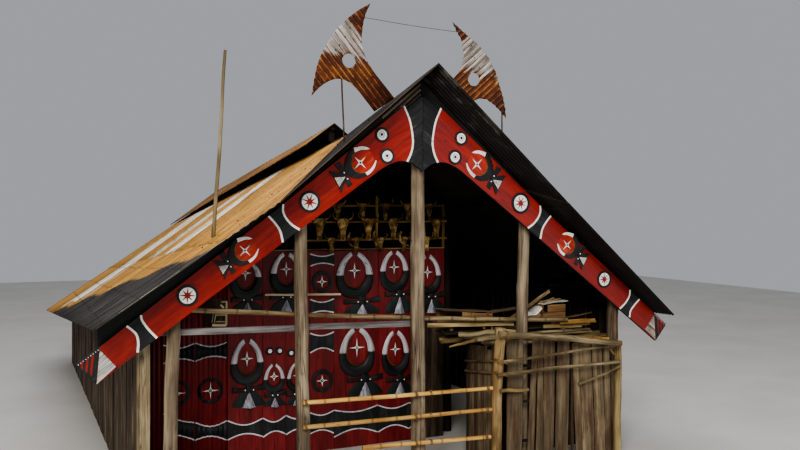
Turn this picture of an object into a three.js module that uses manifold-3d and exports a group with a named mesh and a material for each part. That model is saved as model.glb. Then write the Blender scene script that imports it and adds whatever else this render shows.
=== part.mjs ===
// Traditional longhouse with a painted gable, built in millimetres, +Z up.
// The gable front faces -Y, +X is to the right of the front, the roof runs back along +Y.
// Lengths below are written in metres and turned into millimetres by the helpers.
import * as THREE from 'three';
import { mergeVertices } from 'three/addons/utils/BufferGeometryUtils.js';
import Module from 'manifold-3d';

const wasm = await Module();
wasm.setup();

// ---------------------------------------------------------------- driving dimensions (m)
const MM = 1000;
const SHIFT = [0.0, 6.35, 0.0];          // the row origin lies under the middle of the footprint
const PROW = 0.032;                     // each bargeboard swings back this much per metre
const BOARD_T = 0.05;                   // bargeboard thickness
const TOP0 = 5.634, TOPK = 0.761;       // bargeboard top edge: z = TOP0 - TOPK * |x|
const APEX_Z = 6.03, VERGE_Y = -0.5;    // tip of the roof
const RIDGE_Z = 5.315, RIDGE_Y = 3.0;   // where the flared front meets the main ridge
const FALL = 0.09;                      // the ridge falls this much per metre to the rear
const REAR_Y = 13.0;                    // rear verge
const EAVE = 4.5;                       // eave distance from the middle
const SHEET_T = 0.03;                   // roofing: sheet with its battens
const POST_R = 0.092;
const OUTER_X = 3.55, INNER_X = 1.8;
const WALL_Y = 2.4;                     // face of the painted wall
const SIDE_X = 3.84, SIDE_T = 0.06;     // side walls
const BACK_Y = 12.64;                   // inner face of the rear wall
const HORN_Y = 0.23, HORN_T = 0.02;

const house = new THREE.Group();
house.position.set(-SHIFT[0] * MM, -SHIFT[1] * MM, -SHIFT[2] * MM);

const mats = {
  redboard: { color: 0x9a1c12, roughness: 0.55, metalness: 0.0 },
  blackwood: { color: 0x1c1a19, roughness: 0.75, metalness: 0.0 },
  rustiron: { color: 0x8a5a34, roughness: 0.6, metalness: 0.5 },
  darkiron: { color: 0x2a2422, roughness: 0.6, metalness: 0.4 },
  post: { color: 0x8d7658, roughness: 0.85, metalness: 0.0 },
  plank: { color: 0x6b5742, roughness: 0.9, metalness: 0.0 },
  redwall: { color: 0x7a1613, roughness: 0.6, metalness: 0.0 },
  bamboo: { color: 0xb88c4a, roughness: 0.5, metalness: 0.0 },
  hornmetal: { color: 0x7d4a2c, roughness: 0.65, metalness: 0.5 },
  bone: { color: 0xb79a5a, roughness: 0.8, metalness: 0.0 },
  steel: { color: 0x55504a, roughness: 0.5, metalness: 0.8 },
};

function put(name, geometry, slot) {
  const m = new THREE.MeshStandardMaterial(mats[slot]);
  m.name = slot;
  const mesh = new THREE.Mesh(geometry, m);
  mesh.name = name;
  house.add(mesh);
  return mesh;
}

// ---------------------------------------------------------------- geometry helpers
function fromVerts(verts, tris) {
  const g = new THREE.BufferGeometry();
  const p = [];
  for (const t of tris) for (const i of t) p.push(verts[i][0] * MM, verts[i][1] * MM, verts[i][2] * MM);
  g.setAttribute('position', new THREE.Float32BufferAttribute(p, 3));
  g.computeVertexNormals();
  return g;
}

// A sheet: top vertices and top triangles (counter-clockwise from above), thickened straight down.
function sheet(verts, tris, t) {
  const n = verts.length;
  const all = verts.concat(verts.map(v => [v[0], v[1], v[2] - t]));
  const out = tris.map(a => a.slice());
  for (const a of tris) out.push([a[0] + n, a[2] + n, a[1] + n]);
  const edges = new Map();
  for (const a of tris) for (let i = 0; i < 3; i++) edges.set(a[i] + '_' + a[(i + 1) % 3], [a[i], a[(i + 1) % 3]]);
  for (const [k, [i, j]] of edges) {
    if (edges.has(j + '_' + i)) continue;
    out.push([i, i + n, j + n], [i, j + n, j]);
  }
  return fromVerts(all, out);
}

// A flat board: outline in (x, z), from y0 to y1.
function boardXZ(outline, y0, y1, hole) {
  const s = new THREE.Shape(outline.map(p => new THREE.Vector2(p[0] * MM, p[1] * MM)));
  if (hole) s.holes.push(new THREE.Path(hole.map(p => new THREE.Vector2(p[0] * MM, p[1] * MM))));
  const g = new THREE.ExtrudeGeometry(s, { depth: (y1 - y0) * MM, bevelEnabled: false, steps: 1 });
  g.rotateX(Math.PI / 2);               // (x, z, depth) -> (x, -depth, z)
  g.translate(0, y1 * MM, 0);
  return g;
}

// A flat wall: outline in (y, z), from x0 to x1.
function boardYZ(outline, x0, x1) {
  const s = new THREE.Shape(outline.map(p => new THREE.Vector2(p[0] * MM, p[1] * MM)));
  const g = new THREE.ExtrudeGeometry(s, { depth: (x1 - x0) * MM, bevelEnabled: false, steps: 1 });
  g.rotateX(Math.PI / 2);
  g.rotateZ(Math.PI / 2);
  g.translate(x0 * MM, 0, 0);
  return g;
}

// A round pole between two points.
function pole(a, b, r0, r1 = r0, seg = 12) {
  const A = new THREE.Vector3(...a).multiplyScalar(MM), B = new THREE.Vector3(...b).multiplyScalar(MM);
  const d = B.clone().sub(A);
  const g = new THREE.CylinderGeometry(r1 * MM, r0 * MM, d.length(), seg);
  g.applyQuaternion(new THREE.Quaternion().setFromUnitVectors(new THREE.Vector3(0, 1, 0), d.clone().normalize()));
  const c = A.add(B).multiplyScalar(0.5);
  g.translate(c.x, c.y, c.z);
  return g;
}

function box(x0, x1, y0, y1, z0, z1) {
  const g = new THREE.BoxGeometry((x1 - x0) * MM, (y1 - y0) * MM, (z1 - z0) * MM);
  g.translate((x0 + x1) / 2 * MM, (y0 + y1) / 2 * MM, (z0 + z1) / 2 * MM);
  return g;
}

function toManifold(g) {
  const c = g.index ? g.toNonIndexed() : g.clone();
  for (const k of Object.keys(c.attributes)) if (k !== 'position') c.deleteAttribute(k);
  const m = mergeVertices(c, 1e-3);
  return new wasm.Manifold(new wasm.Mesh({
    numProp: 3,
    vertProperties: new Float32Array(m.attributes.position.array),
    triVerts: new Uint32Array(m.index.array),
  }));
}
function toGeometry(man) {
  const m = man.getMesh();
  const g = new THREE.BufferGeometry();
  const p = [];
  for (let i = 0; i < m.vertProperties.length; i += m.numProp) p.push(m.vertProperties[i], m.vertProperties[i + 1], m.vertProperties[i + 2]);
  g.setAttribute('position', new THREE.Float32BufferAttribute(p, 3));
  g.setIndex(new THREE.BufferAttribute(new Uint32Array(m.triVerts), 1));
  const n = g.toNonIndexed();
  n.computeVertexNormals();
  return n;
}
function fuse(list) {
  let m = toManifold(list[0]);
  for (let i = 1; i < list.length; i++) m = m.add(toManifold(list[i]));
  return toGeometry(m);
}

// ---------------------------------------------------------------- the roof's form
// Left of the ridge the main slope is one plane; the flared front is a steeper triangle.
const leftZ = (x, y) => 5.63 - 0.675 * Math.abs(x) - FALL * (y + 0.5);
const G = 0.001;
const LFOLD = [-2.26, VERGE_Y, leftZ(-2.26, VERGE_Y)];
const APEX = [0, VERGE_Y, APEX_Z];
const RIDGE = [0, RIDGE_Y, RIDGE_Z];
const REAR = [0, REAR_Y, RIDGE_Z - FALL * (REAR_Y - RIDGE_Y)];

{
  const v = [
    [LFOLD[0], LFOLD[1], LFOLD[2]],
    [-EAVE, VERGE_Y, leftZ(-EAVE, VERGE_Y)],
    [-EAVE, REAR_Y, leftZ(-EAVE, REAR_Y)],
    [-G, REAR_Y, leftZ(0, REAR_Y)],
    [-G, RIDGE_Y, leftZ(0, RIDGE_Y)],
  ];
  put('roof_left', sheet(v, [[0, 4, 3], [0, 3, 2], [0, 2, 1]], SHEET_T), 'rustiron');
}
{
  const k = 3 * G;                      // the flared sheets stand clear of the main sheets
  const v = [
    [-G, VERGE_Y, APEX_Z],
    [-2.26 + k * 2, VERGE_Y, LFOLD[2] + 0.854 * k * 2],
    [-G, RIDGE_Y - k * 3, RIDGE_Z + 0.204 * k * 3],
  ];
  put('roof_prow_left', sheet(v, [[0, 2, 1]], SHEET_T), 'darkiron');
}
const RFOLD = [2.28, -0.4, 4.09];
// Right of the ridge the rear slope is one plane; towards the front the lower sheets dip.
const rightZ = (x, y) => RIDGE_Z - 0.685 * x - FALL * (y - RIDGE_Y);
const R_ROWS = { b1: [2.28, 3.0, rightZ(2.28, 3)], b2: [EAVE, 3.0, rightZ(EAVE, 3)], c1: [2.28, REAR_Y, rightZ(2.28, REAR_Y)], c2: [EAVE, REAR_Y, rightZ(EAVE, REAR_Y)], a2: [EAVE, -0.2, 2.30] };
put('roof_right', sheet([[G, RIDGE_Y, RIDGE_Z], R_ROWS.b2, [G, REAR_Y, REAR[2]], R_ROWS.c2], [[0, 1, 3], [0, 3, 2]], SHEET_T), 'rustiron');
{
  const b = p => [p[0], p[1] - G, p[2]];
  put('roof_right_front_upper', sheet([[G, RIDGE_Y - G, RIDGE_Z], RFOLD, b(R_ROWS.b1)], [[0, 1, 2]], SHEET_T), 'rustiron');
  const o = p => [p[0] + (p[0] < 2.5 ? G : 0), p[1] - G, p[2] - (p[0] < 2.5 ? 0.0008 : 0)];
  put('roof_right_front_lower', sheet([o(RFOLD), o(R_ROWS.a2), o(R_ROWS.b2), o(R_ROWS.b1)], [[0, 1, 2], [0, 2, 3]], SHEET_T), 'rustiron');
}
{
  const k = 3 * G;
  const v = [
    [G, VERGE_Y, APEX_Z],
    [RFOLD[0] - k * 2, RFOLD[1], RFOLD[2] + 0.85 * k * 2],
    [G, RIDGE_Y - k * 3, RIDGE_Z + 0.204 * k * 3],
  ];
  put('roof_prow_right', sheet(v, [[0, 1, 2]], SHEET_T), 'darkiron');
}

// Raised vent roof over the ridge: narrow at its front, wider at the rear.
const VENT = { y0: 3.62, y1: 13.2, z0: 5.58, z1: 4.54, h0: 0.52, h1: 1.30, s0: 0.74, s1: 0.74 };
for (const side of [-1, 1]) {
  const a = [side * G, VENT.y0, VENT.z0], b = [side * G, VENT.y1, VENT.z1];
  const c = [side * VENT.h0, VENT.y0, VENT.z0 - VENT.s0 * VENT.h0], d = [side * VENT.h1, VENT.y1, VENT.z1 - VENT.s1 * VENT.h1];
  const v = [a, b, c, d];
  put(side < 0 ? 'vent_roof_left' : 'vent_roof_right',
    sheet(v, side < 0 ? [[0, 1, 2], [1, 3, 2]] : [[0, 2, 1], [1, 2, 3]], 0.022), 'rustiron');
}
// A pole under the vent ridge on short saddles that straddle the main ridge.
{
  const top = y => VENT.z0 - (VENT.z0 - VENT.z1) * (y - VENT.y0) / (VENT.y1 - VENT.y0) - 0.08;
  const parts = [pole([0, 3.70, top(3.70)], [0, 12.9, top(12.9)], 0.045, 0.045, 8)];
  const ridge = y => RIDGE_Z - FALL * (y - RIDGE_Y);
  for (const y of [3.8, 6.8, 9.8, 12.7]) {
    const zt = top(y), zb = ridge(y) + 0.008;
    parts.push(boardXZ([[-0.06, zb + 0.004], [0.06, zb + 0.004], [0.05, zt], [-0.05, zt]], y - 0.03, y + 0.03));
  }
  put('vent_frame', fuse(parts), 'post');
}

// ---------------------------------------------------------------- bargeboards
// Outline along the board plane: a = distance from the joint, z = height.
const boardTop = a => TOP0 - TOPK * a;
const boardOutline = [
  [0.0025, boardTop(0.0025)], [0.0025, 4.552], [0.07, 4.612], [0.15, 4.66], [0.237, 4.688], [0.33, 4.697], [0.42, 4.682],
  [0.525, 4.640], [0.62, 4.588], [1.828, 3.724], [4.42, 1.835], [4.65, boardTop(4.65)],
];
for (const side of [-1, 1]) {
  const o = boardOutline.map(p => [side * p[0], p[1]]);
  if (side < 0) o.reverse();
  const g = boardXZ(o, 0, BOARD_T);
  g.rotateZ(side * Math.atan(PROW));
  put(side < 0 ? 'bargeboard_left' : 'bargeboard_right', g, 'redboard');
}
// Black front rafters behind the boards: they close the band between board and sheet.
for (const side of [-1, 1]) {
  const foldX = side < 0 ? 1.873 : 1.945;
  const zFold = side < 0 ? 4.268 : 4.225;
  const zEnd = side < 0 ? 5.63 - 0.675 * 4.4 - FALL * 0.75 - SHEET_T : 2.285;
  const o = [
    [0.006, 5.86], [0.006, 5.30], [4.4, boardTop(4.4) - 0.22], [4.4, zEnd - 0.02],
    [foldX, zFold - 0.022],
  ].map(p => [side * p[0], p[1]]);
  if (side < 0) o.reverse();
  const g = boardXZ(o, BOARD_T + 0.004, BOARD_T + 0.060);
  g.rotateZ(side * Math.atan(PROW));
  put(side < 0 ? 'front_rafter_left' : 'front_rafter_right', g, 'blackwood');
}

// ---------------------------------------------------------------- posts and long timbers
const ridgeBeamZ = y => RIDGE_Z - FALL * (y - RIDGE_Y) - 0.16;
put('ridge_beam', pole([0, 0.135, ridgeBeamZ(0.135)], [0, BACK_Y - 0.01, ridgeBeamZ(BACK_Y - 0.01)], 0.08, 0.075), 'post');
const midL = y => leftZ(INNER_X, y) - SHEET_T - 0.085, midR = y => midL(y) - 0.05;
const plateX = 3.62;
const plateL = y => leftZ(plateX, y) - SHEET_T - 0.085, plateR = y => 2.86 - 0.0817 * (y - 0.25);
put('purlin_left', pole([-INNER_X, 0.22, midL(0.22)], [-INNER_X, BACK_Y - 0.01, midL(BACK_Y - 0.01)], 0.065), 'post');
put('purlin_right', pole([INNER_X, 0.22, midR(0.22)], [INNER_X, BACK_Y - 0.01, midR(BACK_Y - 0.01)], 0.065), 'post');
put('wall_plate_left', pole([-plateX, 0.25, plateL(0.25)], [-plateX, BACK_Y - 0.01, plateL(BACK_Y - 0.01)], 0.06), 'post');
put('wall_plate_right', pole([plateX, 0.25, plateR(0.25)], [plateX, BACK_Y - 0.01, plateR(BACK_Y - 0.01)], 0.06), 'post');

put('post_centre', pole([0.062, 0.235, 0], [0.02, 0.235, ridgeBeamZ(0.235) - 0.09], POST_R * 1.17, POST_R * 1.08, 14), 'post');
put('post_inner_left', pole([-1.67, 0.30, 0], [-1.742, 0.30, midL(0.30) - 0.075], POST_R * 1.06, POST_R * 0.98, 14), 'post');
put('post_inner_right', pole([1.885, 0.30, 0], [1.914, 0.30, midR(0.30) - 0.075], POST_R * 1.05, POST_R * 0.96, 14), 'post');
put('post_outer_left', pole([-3.505, 0.325, 0], [-3.436, 0.325, plateL(0.325) - 0.075], POST_R, POST_R * 0.9, 14), 'post');
put('post_outer_right', pole([3.678, 0.325, 0], [3.668, 0.325, plateR(0.325) - 0.075], POST_R, POST_R * 0.98, 14), 'post');
for (const [y, tag] of [[2.70, 'front'], [7.6, 'rear']]) {
  put('hall_post_left_' + tag, pole([-INNER_X, y, 0], [-INNER_X, y, midL(y) - 0.075], 0.085, 0.075, 12), 'post');
  put('hall_post_right_' + tag, pole([INNER_X + 0.03, y, 0], [INNER_X, y, midR(y) - 0.075], 0.085, 0.075, 12), 'post');
}

// ---------------------------------------------------------------- walls
const sideTopL = y => leftZ(SIDE_X + SIDE_T, y) - SHEET_T - 0.02;
put('side_wall_left', boardYZ([[0.45, 0], [BACK_Y - 0.001, 0], [BACK_Y - 0.001, sideTopL(BACK_Y)], [0.45, sideTopL(0.45)]], -SIDE_X - SIDE_T, -SIDE_X), 'plank');
put('side_wall_right', boardYZ([[0.45, 0], [BACK_Y - 0.001, 0], [BACK_Y - 0.001, 2.576 - FALL * (BACK_Y - 3)], [3, 2.576], [0.45, 2.68]], SIDE_X, SIDE_X + SIDE_T), 'plank');
{
  const z = (x) => leftZ(x, BACK_Y + 0.06) - SHEET_T - 0.02;
  const zr = (x) => (x < 2.28 ? REAR[2] + FALL * 0.3 - (REAR[2] - R_ROWS.c1[2]) / 2.28 * x
    : R_ROWS.c1[2] + FALL * 0.3 - (R_ROWS.c1[2] - R_ROWS.c2[2]) / (EAVE - 2.28) * (x - 2.28)) - SHEET_T - 0.02;
  const w = SIDE_X + SIDE_T;
  put('rear_wall', boardXZ([[-w, 0], [w, 0], [w, zr(w)], [2.28, zr(2.28)], [0, z(0) - 0.01], [-w, z(w)]], BACK_Y, BACK_Y + 0.06), 'plank');
}
put('painted_wall', box(-2.25, 1.62, WALL_Y, WALL_Y + 0.04, 0, 3.33), 'redwall');
put('painted_wall_sheets', boardXZ([[-3.835, 0], [-2.252, 0], [-2.252, 3.33], [-2.9, 3.33], [-3.46, 2.95], [-3.50, 2.60], [-3.835, 2.60]], WALL_Y, WALL_Y + 0.04), 'redwall');
put('corner_plank_left', box(-3.90, -3.73, 0.40, 0.445, 0, 2.66), 'plank');

// ---------------------------------------------------------------- skull rack above the painted wall
{
  const y = WALL_Y + 0.02, parts = [];
  for (const x of [-0.98, 0.32, 1.60]) parts.push(pole([x, y, 3.3304], [x, y, x > 1 ? 4.12 : 4.24], 0.028, 0.024, 8));
  const rows = [[3.50, -1.02, 1.66], [3.80, -1.02, 1.66], [4.07, -1.0, 1.60]];
  for (const [z, x0, x1] of rows) parts.push(pole([x0, y - 0.012, z], [x1, y - 0.008, z + 0.01], 0.022, 0.02, 8));
  for (const [z, x0, x1] of rows) {
    const n = z > 4 ? 8 : 9;
    for (let i = 0; i < n; i++) {
      const x = x0 + 0.13 + (x1 - x0 - 0.26) * i / (n - 1);
      // a skull hangs by its brow on the pole, muzzle down
      const s = boardXZ([[x - 0.035, z - 0.23], [x + 0.035, z - 0.23], [x + 0.085, z + 0.02], [x + 0.06, z + 0.05], [x - 0.06, z + 0.05], [x - 0.085, z + 0.02]], y - 0.15, y - 0.024);
      parts.push(s);
    }
  }
  put('skull_rack', fuse(parts), 'bone');
}

// ---------------------------------------------------------------- rails
put('bamboo_pole_rail', pole([-3.45, 0.477, 2.68], [2.86, 0.477, 2.208], 0.038, 0.036, 10), 'bamboo');
put('plank_rail_left', (() => { const g = box(0, 1.93, 0.425, 0.465, -0.045, 0.045); g.rotateY(Math.atan(0.0265)); g.translate(-3.62 * MM, 0, 2.394 * MM); return g; })(), 'plank');
put('plank_rail_centre', (() => { const g = box(0, 1.78, 0.398, 0.434, -0.045, 0.045); g.rotateY(Math.atan(0.025)); g.translate(-1.68 * MM, 0, 2.365 * MM); return g; })(), 'plank');
put('short_strip_rail', (() => { const g = box(0, 1.29, 2.27, 2.285, -0.0175, 0.0175); g.rotateY(Math.atan(0.0315)); g.translate(-1.675 * MM, 0, 2.6435 * MM); return g; })(), 'bamboo');
put('fence_rail_top', pole([-1.735, 0.165, 1.36], [1.18, 0.02, 1.34], 0.031, 0.029, 10), 'bamboo');
put('fence_rail_middle', pole([-1.735, 0.165, 1.02], [1.17, 0.02, 1.02], 0.031, 0.029, 10), 'bamboo');
put('fence_rail_bottom', pole([-0.88, 0.11, 0.65], [1.155, 0.02, 0.612], 0.031, 0.029, 10), 'bamboo');

// ---------------------------------------------------------------- pen of upright planks
put('pen_corner_post', pole([1.24, 0.02, 0], [1.31, 0.02, 2.235], 0.078, 0.088, 12), 'post');
put('pen_end_post', pole([3.53, 0.02, 0], [3.52, 0.02, 1.82], 0.068, 0.060, 10), 'post');
put('pen_front_planks', boardXZ([[1.435, 0], [3.445, 0], [3.445, 1.85], [2.6, 1.95], [1.435, 2.06]], 0.03, 0.062), 'plank');
put('pen_side_planks', boardYZ([[0.12, 0], [0.985, 0], [0.985, 1.87], [0.12, 1.95]], 1.29, 1.325), 'plank');
put('pen_rear_planks', boardXZ([[1.29, 0], [3.835, 0], [3.835, 1.62], [1.29, 1.85]], 0.992, 1.024), 'plank');
put('pen_top_log', pole([1.21, -0.128, 2.165], [3.44, -0.158, 1.895], 0.052, 0.046, 10), 'post');
put('pen_rail_upper', pole([1.29, -0.095, 1.745], [3.40, -0.068, 1.858], 0.024, 0.022, 8), 'post');
put('pen_rail_lower', pole([1.20, -0.10, 1.555], [3.485, -0.085, 1.59], 0.028, 0.026, 8), 'post');
put('pen_short_rail', pole([2.72, -0.03, 1.28], [3.49, -0.08, 1.51], 0.022, 0.020, 8), 'post');
// poles and boards stored across the top of the pen
{
  const parts = [
    box(0.55, 3.45, 0.50, 0.60, 1.96, 2.03),
    box(0.75, 3.30, 0.85, 0.96, 1.96, 2.03),
    box(1.45, 1.58, 0.52, 0.975, 2.02, 2.21),
    box(2.75, 2.90, 0.52, 0.975, 2.02, 2.10),
    box(0.62, 3.2, 0.53, 0.94, 2.09, 2.16),
    box(0.35, 1.87, 0.52, 0.555, 2.19, 2.28),
    box(0.68, 1.54, 0.60, 0.93, 2.15, 2.49),
    box(2.18, 2.47, 0.62, 0.90, 2.15, 2.40),
    box(2.46, 2.93, 0.58, 0.92, 2.15, 2.52),
    pole([1.66, 0.68, 2.12], [2.68, 0.72, 2.69], 0.028, 0.024, 8),
  ];
  put('stored_timber', fuse(parts), 'plank');
}
put('pen_bearer_front', box(1.33, 3.835, 0.44, 0.54, 1.88, 1.9597), 'post');
put('pen_bearer_rear', box(1.33, 3.835, 0.84, 0.96, 1.86, 1.9597), 'post');

// ---------------------------------------------------------------- roof horns of corrugated iron
const hornL = [[-0.715, 6.93], [-0.892, 6.822], [-1.05, 6.696], [-1.177, 6.573], [-1.279, 6.45], [-1.35, 6.34], [-1.414, 6.225], [-1.475, 6.10],
  [-1.52, 5.965], [-1.556, 5.79], [-1.591, 5.571], [-1.535, 5.636], [-1.485, 5.688], [-1.42, 5.742], [-1.35, 5.784], [-1.28, 5.815], [-1.206, 5.832], [-1.112, 5.825],
  [-1.017, 5.786], [-0.89, 5.667], [-0.655, 5.40], [-0.34, 5.605], [-0.533, 5.818], [-0.62, 5.912],
  [-0.696, 6.005], [-0.745, 6.075], [-0.783, 6.149], [-0.82, 6.24], [-0.843, 6.331], [-0.849, 6.41], [-0.846, 6.488], [-0.828, 6.637], [-0.784, 6.791]];
const hornR = [[0.597, 6.794], [0.77, 6.671], [0.938, 6.559], [1.03, 6.50], [1.108, 6.437], [1.23, 6.299], [1.342, 6.117], [1.385, 6.01], [1.418, 5.898], [1.483, 5.721],
  [1.521, 5.552], [1.534, 5.408], [1.434, 5.516], [1.308, 5.615], [1.185, 5.682], [1.063, 5.686], [0.954, 5.640], [0.62, 5.375],
  [0.33, 5.635], [0.52, 5.85], [0.617, 5.956], [0.706, 6.051], [0.76, 6.18], [0.795, 6.308], [0.776, 6.441], [0.746, 6.553], [0.673, 6.652]];
const ring = (cx, cz, rx, rz) => Array.from({ length: 20 }, (_, i) => [cx + rx * Math.cos(i * Math.PI / 10), cz + rz * Math.sin(i * Math.PI / 10)]);
put('horn_left', boardXZ(hornL, HORN_Y, HORN_Y + HORN_T, ring(-1.043, 6.094, 0.10, 0.10)), 'hornmetal');
put('horn_right', boardXZ(hornR, HORN_Y, HORN_Y + HORN_T, ring(0.966, 5.966, 0.098, 0.10)), 'hornmetal');
put('horn_rod_left', pole([-1.104, HORN_Y + 0.034, 4.96], [-1.146, HORN_Y + 0.034, 5.95], 0.0125, 0.0125, 8), 'steel');
put('horn_rod_right', pole([1.486, HORN_Y + 0.034, 4.66], [1.476, HORN_Y + 0.034, 5.62], 0.0125, 0.0125, 8), 'steel');
put('horn_wire', pole([-0.826, HORN_Y + 0.03, 6.728], [0.70, HORN_Y + 0.03, 6.655], 0.005, 0.005, 6), 'steel');
put('roof_pole', pole([-2.815, 0.85, leftZ(2.815, 0.85) + 0.0225], [-2.645, 0.85, 6.215], 0.030, 0.022, 8), 'bamboo');

export default house;
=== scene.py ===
# Traditional longhouse with a painted gable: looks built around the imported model.
# All places below are in the house's own frame: x = 0 at the joint of the bargeboards,
# y = 0 at their face, z = 0 on the ground. SH moves them into the row frame.
import math
import random
import bpy
import bmesh
import numpy as np
from mathutils import Matrix, Vector
from mathutils.geometry import delaunay_2d_cdt


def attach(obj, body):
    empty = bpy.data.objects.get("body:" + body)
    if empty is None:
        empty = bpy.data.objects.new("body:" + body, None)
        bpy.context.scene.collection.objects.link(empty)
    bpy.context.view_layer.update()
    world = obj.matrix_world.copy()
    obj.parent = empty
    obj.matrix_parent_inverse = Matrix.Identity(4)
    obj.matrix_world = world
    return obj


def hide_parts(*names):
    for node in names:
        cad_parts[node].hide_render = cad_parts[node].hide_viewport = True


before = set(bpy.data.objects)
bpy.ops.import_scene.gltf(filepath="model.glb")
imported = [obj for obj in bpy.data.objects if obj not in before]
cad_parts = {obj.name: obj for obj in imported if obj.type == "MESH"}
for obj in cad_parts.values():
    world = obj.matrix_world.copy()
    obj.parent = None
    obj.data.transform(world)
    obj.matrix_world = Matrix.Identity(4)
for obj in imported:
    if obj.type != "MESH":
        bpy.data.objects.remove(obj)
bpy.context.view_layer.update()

scene = bpy.context.scene
SH = 6.35
FALL = 0.09
PROW = math.atan(0.032)
WALL_Y = 2.4
PITCH = 0.076
AMP = 0.0085


# ---------------------------------------------------------------- camera
PSI, PITCH_CAM, ROLL = 0.43251, -0.01740, 0.00276
cam_data = bpy.data.cameras.new("photo_camera")
cam = bpy.data.objects.new("photo_camera", cam_data)
scene.collection.objects.link(cam)
cam_data.sensor_width = 36.0
cam_data.lens = 850.0 / 800.0 * 36.0
cam_data.clip_end = 300
_f = Vector((math.sin(PSI) * math.cos(PITCH_CAM), math.cos(PSI) * math.cos(PITCH_CAM), math.sin(PITCH_CAM)))
_r = Vector((math.cos(PSI), -math.sin(PSI), 0))
_u = _r.cross(_f)
_r2 = _r * math.cos(ROLL) + _u * math.sin(ROLL)
_u2 = -_r * math.sin(ROLL) + _u * math.cos(ROLL)
m = Matrix.Identity(4)
for i in range(3):
    m[i][0], m[i][1], m[i][2] = _r2[i], _u2[i], -_f[i]
m[0][3], m[1][3], m[2][3] = -5.3976, -10.9160 - SH, 4.0
cam.matrix_world = m
scene.camera = cam


# ---------------------------------------------------------------- materials
def srgb(r, g, b):
    f = lambda c: ((c / 255 + 0.055) / 1.055) ** 2.4 if c / 255 > 0.04045 else c / 255 / 12.92
    return (f(r), f(g), f(b), 1.0)


class Mat:
    def __init__(self, name):
        self.m = bpy.data.materials.new(name)
        self.m.use_nodes = True
        self.t = self.m.node_tree
        self.t.nodes.clear()
        self.o = self.t.nodes.new("ShaderNodeOutputMaterial")
        self.b = self.t.nodes.new("ShaderNodeBsdfPrincipled")
        self.t.links.new(self.b.outputs[0], self.o.inputs[0])

    def new(self, kind, **kw):
        n = self.t.nodes.new(kind)
        for k, v in kw.items():
            setattr(n, k, v)
        return n

    def put(self, sock, v):
        if isinstance(v, (int, float)):
            sock.default_value = v
        elif isinstance(v, tuple):
            sock.default_value = v
        else:
            self.t.links.new(v, sock)

    def vec(self, name):
        return self.new("ShaderNodeAttribute", attribute_name=name).outputs["Vector"]

    def num(self, name):
        return self.new("ShaderNodeAttribute", attribute_name=name).outputs["Fac"]

    def place(self):
        return self.new("ShaderNodeTexCoord").outputs["Object"]

    def map(self, v, scale, loc=(0, 0, 0)):
        n = self.new("ShaderNodeMapping")
        self.put(n.inputs["Vector"], v)
        n.inputs["Scale"].default_value = scale
        n.inputs["Location"].default_value = loc
        return n.outputs[0]

    def noise(self, v, scale, detail=4.0, rough=0.5, dist=0.0, loc=(0, 0, 0)):
        if not isinstance(scale, tuple):
            scale = (scale,) * 3
        n = self.new("ShaderNodeTexNoise")
        self.put(n.inputs["Vector"], self.map(v, scale, loc))
        n.inputs["Scale"].default_value = 1.0
        n.inputs["Detail"].default_value = detail
        n.inputs["Roughness"].default_value = rough
        n.inputs["Distortion"].default_value = dist
        return n.outputs["Fac"]

    def cracks(self, v, scale, loc=(0, 0, 0)):
        n = self.new("ShaderNodeTexVoronoi", feature="DISTANCE_TO_EDGE")
        self.put(n.inputs["Vector"], self.map(v, scale, loc))
        n.inputs["Scale"].default_value = 1.0
        return n.outputs["Distance"]

    def cells(self, v, scale, loc=(0, 0, 0)):
        n = self.new("ShaderNodeTexVoronoi", feature="F1")
        self.put(n.inputs["Vector"], self.map(v, scale, loc))
        n.inputs["Scale"].default_value = 1.0
        return n.outputs["Distance"]

    def ramp(self, fac, stops, mode="LINEAR"):
        n = self.new("ShaderNodeValToRGB")
        self.put(n.inputs[0], fac)
        cr = n.color_ramp
        cr.interpolation = mode
        while len(cr.elements) > 1:
            cr.elements.remove(cr.elements[-1])
        for i, (p, col) in enumerate(stops):
            if isinstance(col, (int, float)):
                col = (col, col, col, 1.0)
            e = cr.elements[0] if i == 0 else cr.elements.new(p)
            e.position = p
            e.color = col
        return n.outputs["Color"]

    def mix(self, fac, a, b, mode="MIX"):
        n = self.new("ShaderNodeMix", data_type="RGBA", blend_type=mode)
        self.put(n.inputs[0], fac)
        self.put(n.inputs[6], a)
        self.put(n.inputs[7], b)
        return n.outputs[2]

    def math(self, op, a, b=0.0, c=None, clamp=False):
        n = self.new("ShaderNodeMath", operation=op, use_clamp=clamp)
        self.put(n.inputs[0], a)
        self.put(n.inputs[1], b)
        if c is not None:
            self.put(n.inputs[2], c)
        return n.outputs[0]

    def sep(self, v):
        n = self.new("ShaderNodeSeparateXYZ")
        self.put(n.inputs[0], v)
        return n.outputs

    def comb(self, x, y, z):
        n = self.new("ShaderNodeCombineXYZ")
        for i, v in enumerate((x, y, z)):
            self.put(n.inputs[i], v)
        return n.outputs[0]

    def bump(self, height, strength=0.5, dist=0.01, normal=None):
        n = self.new("ShaderNodeBump")
        self.put(n.inputs["Height"], height)
        n.inputs["Strength"].default_value = strength
        n.inputs["Distance"].default_value = dist
        if normal is not None:
            self.put(n.inputs["Normal"], normal)
        return n.outputs[0]

    def done(self, color, rough, normal=None, metal=0.0, spec=None):
        self.put(self.b.inputs["Base Color"], color)
        self.put(self.b.inputs["Roughness"], rough)
        self.put(self.b.inputs["Metallic"], metal)
        if spec is not None:
            self.b.inputs["Specular IOR Level"].default_value = spec
        if normal is not None:
            self.put(self.b.inputs["Normal"], normal)
        return self.m


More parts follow.
